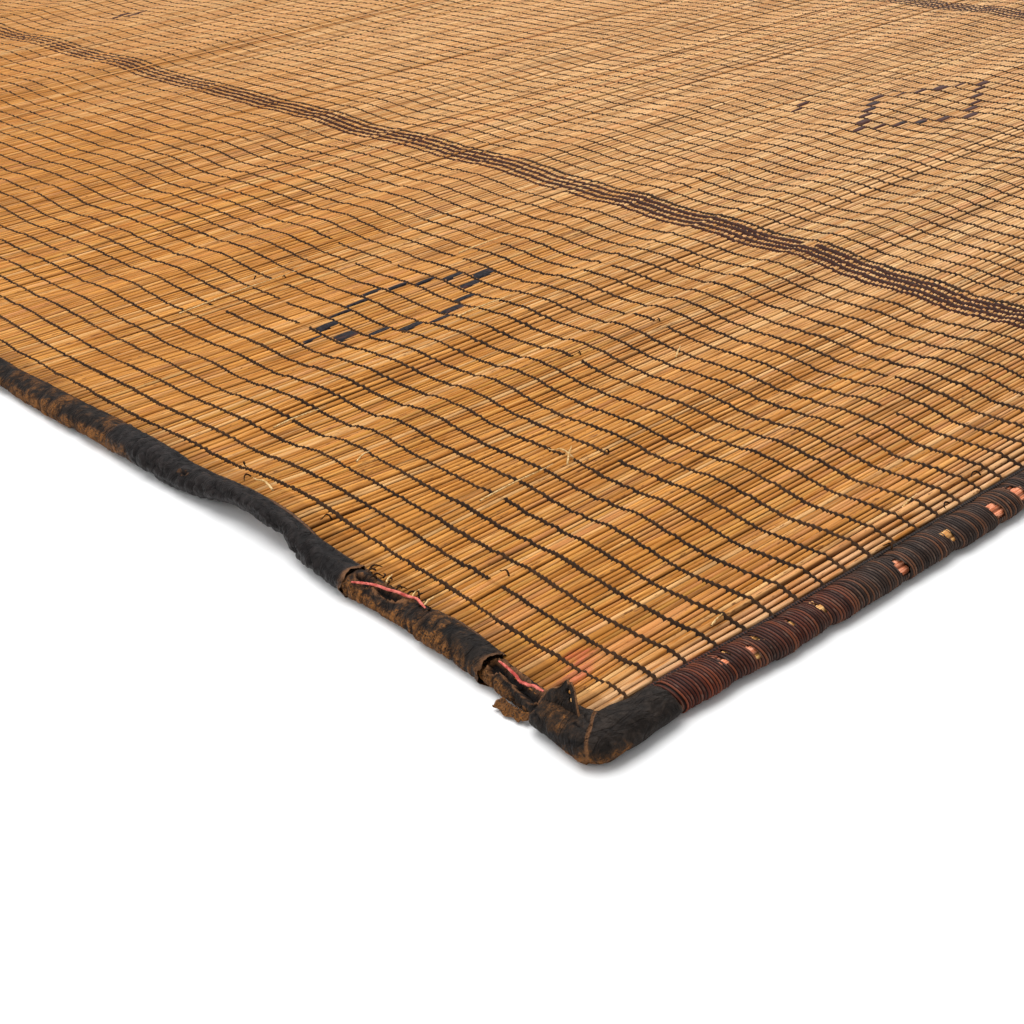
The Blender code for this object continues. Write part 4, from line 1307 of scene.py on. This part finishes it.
def wound_roll(name, node, far, stations, points, finish, slits=()):
    """A roll wound in thong: a rounded crest and a groove at each turn, swelling between the slits."""
    rows = SECTIONS[node]
    start, end = rows[0, 0] - ROD_TUCK, rows[-1, 0] + ROD_TUCK
    turns_count = int((end - start) / WRAP_PITCH)
    kept = (0, 1, 2, 3) if stations == 4 else (0, 2)
    phases = np.array([WRAP_PHASES[k] for k in kept])
    numbers = np.arange(turns_count)
    across = (start + WRAP_PITCH * (numbers[:, None] + phases)).ravel()
    stand = np.tile([WRAP_STANDS[k] for k in kept], turns_count)
    chance = np.random.default_rng(71)
    uneven = np.repeat(chance.uniform(0.65, 1.35, turns_count), len(kept))
    tone = np.repeat(chance.uniform(0.0, 1.0, turns_count), len(kept))
    inside = np.clip(across, rows[0, 0], rows[-1, 0])
    inner = read_sections(rows, inside, LEAST if far else GREATEST)[:, None]
    tuck = 0.0010 * ((across < rows[0, 0]) | (across > rows[-1, 0]))
    reach = read_sections(rows, inside, GREATEST, LEAST) - tuck
    height = read_sections(rows, inside, TOP, FOOT) - tuck
    outward, rise, turns = roll_points(reach, height, points)
    across = across[:, None]
    beside = np.full((len(across), points), 1.0)
    for slit in slits:
        round_share = np.clip(np.abs(np.degrees(turns) - slit.turn) / slit.half_turn, 0.0, 1.0)
        away = np.abs(across - slit.across) - slit.length / 2.0 * np.sqrt(1.0 - round_share ** 2)
        beside = np.minimum(beside, np.where(round_share < 1.0, away, np.maximum(away, 0.0001)))
    push = (WRAP_RELIEF * stand * np.where(stand > 0, uneven, 1.0))[:, None]
    push = push - SLIT_SINK * ramp(beside, SLIT_REACH, 0.0)
    push = push + 0.0005 * smooth_noise(across / 0.009, turns * 0.8, 72)
    outward = outward + push * np.cos(turns) * off_edges(turns)
    rise = np.maximum(rise + push * np.sin(turns), LOWEST)
    slant = 0.00035 * np.cos(turns) + 0.00030 * smooth_noise(across / 0.004, turns * 0.9, 73)
    corners = world(across + slant, inner + outward if far else inner - outward, rise)
    faces = grid_faces(len(across), points, closed=True)
    empty = (beside < 0.0)[:-1] & (beside < 0.0)[1:]
    gone = (empty & np.roll(empty, -1, axis=1)).ravel()
    faces = (faces if far else faces[:, ::-1])[~gone]
    crest = np.clip((stand + 0.9) / 1.9, 0.0, 1.0)
    marks = {"tone": tone[:, None], "crest": crest[:, None]}
    return fit(build(name, corners, [faces], finish, marks), "wrapped_thong", node)


def make_inner_rows(finish):
    """The thin wound reed between the reeds and each end rod, on which the thongs end."""
    start, end = INNER_ROW_START, MAT_WIDTH - INNER_ROW_START
    turns_count = int((end - start) / WRAP_PITCH)
    points = 6
    across = start + WRAP_PITCH / 2.0 * np.arange(2 * turns_count)
    stand = np.tile((-1.0, 1.0), turns_count)[:, None]
    chance = np.random.default_rng(75)
    tone = np.repeat(chance.uniform(0.0, 1.0, turns_count), 2)
    turns = 2.0 * np.pi * (np.arange(points) + 0.5) / points
    radius = 0.0014 + 0.00014 * stand
    rings = []
    for middle in (REED_MIDDLES[0], REED_MIDDLES[-1]):
        along = bowed(across, middle)[:, None] + radius * np.cos(turns)
        height = field(across, middle)[:, None] + 0.0004 + radius * np.sin(turns)
        rings.append(world(across[:, None], along, height))
    faces = repeated(grid_faces(len(across), points, closed=True), 2, len(across) * points)
    marks = {"tone": tone[:, None] * 0.7, "crest": 0.5 + 0.5 * stand}
    return fit(build("wound_inner_rows", rings, [faces], finish, marks), "wrapped_thong")


def make_cores(finish):
    """The dyed strands under the wraps of the near rod, shown only where the wraps part."""
    rows = SECTIONS["rod_near"]
    strands, stations = 6, 5
    points = strands * 7
    corners, colour, crests, shown = [], [], [], []
    for number, slit in enumerate(SLITS):
        half = slit.length * 0.5
        places = np.linspace(slit.across - half - CORE_LAP, slit.across + half + CORE_LAP, stations)
        inner = read_sections(rows, places, GREATEST) - 0.0014
        reach = read_sections(rows, places, GREATEST, LEAST) - 0.0043
        height = read_sections(rows, places, TOP) - 0.0021
        outward, up, turns = roll_points(reach, height, points)
        share = (turns + ROLL_TURN) / (2.0 * ROLL_TURN) * strands
        bulge = np.sqrt(np.clip(1.0 - (2.0 * (share % 1.0) - 1.0) ** 2, 0.0, 1.0))
        along = inner[:, None] - outward - CORE_BULGE * bulge * np.cos(turns)
        rise = up + CORE_BULGE * bulge * np.sin(turns)
        corners.append(world(places[:, None], along, np.maximum(rise, 0.0003)))
        # A strand shows only over the part of the turn where its slit is open
        in_slit = np.abs(np.degrees(turns) - slit.turn) < slit.half_turn + 10.0
        shown.append(np.tile(in_slit[:-1] & in_slit[1:], stations - 1))
        golden = ((np.floor(share) * 0.37 + number * 0.23) % 1.0) < slit.gold
        colour.append(np.where(golden, 1.0, 0.0))
        crests.append(bulge)
    faces = repeated(grid_faces(stations, points)[:, ::-1], len(SLITS), stations * points)
    faces = faces[np.concatenate(shown)]
    marks = {"gold": np.array(colour)[:, None], "crest": np.array(crests)[:, None]}
    return fit(build("rod_cores", corners, [faces], finish, marks), "wrapped_thong")


# Studio


def make_studio():
    """The camera, a pale floor and soft light."""
    lens = bpy.data.cameras.new("camera")
    lens.lens = CAMERA_LENS
    lens.sensor_width = CAMERA_SENSOR
    lens.clip_start = 0.01
    camera = add_object("camera", lens)
    turn = Matrix((CAMERA_RIGHT, CAMERA_UP, CAMERA_BACK)).transposed().to_4x4()
    camera.matrix_world = Matrix.Translation(CAMERA_SPOT) @ turn
    bpy.context.scene.camera = camera
    corners = [(x * FLOOR_HALF, y * FLOOR_HALF, 0.0) for x, y in ((-1, -1), (1, -1), (1, 1), (-1, 1))]
    floor = build("floor", corners, [np.array([[0, 1, 2, 3]])], floor_finish())
    for light in LIGHTS:
        lamp = bpy.data.lights.new(light.name, "AREA")
        lamp.shape = "DISK"
        lamp.size = light.size
        lamp.energy = light.power
        facing = Vector(light.target) - Vector(light.spot)
        facing = facing.to_track_quat("-Z", "Y").to_matrix().to_4x4()
        add_object(light.name, lamp).matrix_world = Matrix.Translation(light.spot) @ facing
    sky = bpy.data.worlds.new("studio")
    sky.use_nodes = True
    backdrop = sky.node_tree.nodes["Background"]
    backdrop.inputs["Color"].default_value = (1.0, 1.0, 1.0, 1.0)
    backdrop.inputs["Strength"].default_value = SKY_STRENGTH
    bpy.context.scene.world = sky
    bpy.context.scene.view_settings.view_transform = "Standard"


# The torn tongue of the corner cap and the curl that hangs from the torn sleeve: two edge points a row
TONGUE = (
    ((-0.0036, 0.0046, 0.0085), (-0.0036, 0.0262, 0.0085)),
    ((-0.0028, 0.0056, 0.0115), (-0.0030, 0.0246, 0.0115)),
    ((-0.0020, 0.0072, 0.0145), (-0.0024, 0.0224, 0.0145)),
    ((-0.0010, 0.0092, 0.0174), (-0.0016, 0.0197, 0.0174)),
    ((0.0000, 0.0112, 0.0200), (-0.0006, 0.0170, 0.0200)),
    ((0.0006, 0.0130, 0.0221), (0.0003, 0.0142, 0.0221)),
)
TONGUE_HOLES = ((0.30, 0.70, 0.07), (0.24, 0.54, 0.06))
CURL = (
    ((-0.0062, 0.0280, 0.0040), (-0.0062, 0.0420, 0.0040)),
    ((-0.0076, 0.0286, 0.0030), (-0.0078, 0.0434, 0.0030)),
    ((-0.0086, 0.0298, 0.0016), (-0.0092, 0.0440, 0.0020)),
    ((-0.0094, 0.0316, 0.0009), (-0.0104, 0.0438, 0.0014)),
)
Flap = namedtuple("Flap", "name rows thickness ragged holes wear finish slot node")
FLAPS = (
    Flap("torn_tongue", TONGUE, 0.0007, 0.05, TONGUE_HOLES, 0.1, "worn", "black_leather", "cap_tongue"),
    Flap("torn_curl_leather", CURL, 0.0008, 0.14, (), 0.75, "suede", "worn_leather", "torn_curl"),
)


def main():
    make_studio()
    reed = reed_finish()
    thong = thong_finish()
    leathers = {name: leather_finish(leather) for name, leather in LEATHERS.items()}
    wraps = wrap_finish()
    straw = straw_finish()
    reeds = make_reeds(reed)
    parts = [make_thongs(detail, thong) for detail in DETAILS]
    parts.append(make_thongs_under(thong))
    parts.append(make_stitches(stitch_finish()))
    parts.append(make_strands("loose_thong_ends", LOOSE_ENDS, LOOSE_END_RADIUS, thong, "wrapped_thong"))
    parts.append(make_strands("reed_splinters", SPLINTERS, SPLINTER_RADIUS, straw, "reed"))
    parts += [make_sleeve(node, look, leathers[look.finish]) for node, look in SLEEVE_LOOKS.items()]
    parts.append(make_seam(leathers["black"]))
    parts.append(make_cap("cap_near_left", leathers["worn"], 3))
    for node in ("cap_near_right", "cap_far_left", "cap_far_right"):
        parts.append(make_cap(node, leathers["black"], 2))
    parts += [make_flap(flap, leathers[flap.finish]) for flap in FLAPS]
    parts.append(wound_roll("wound_rod_near", "rod_near", False, 4, 16, wraps, SLITS))
    parts.append(wound_roll("wound_rod_far", "rod_far", True, 2, 12, wraps))
    parts.append(make_inner_rows(wraps))
    parts.append(make_cores(core_finish()))
    pink = pink_finish()
    parts += [make_cord(node, route, pink) for node, route in CORDS.items()]


main()
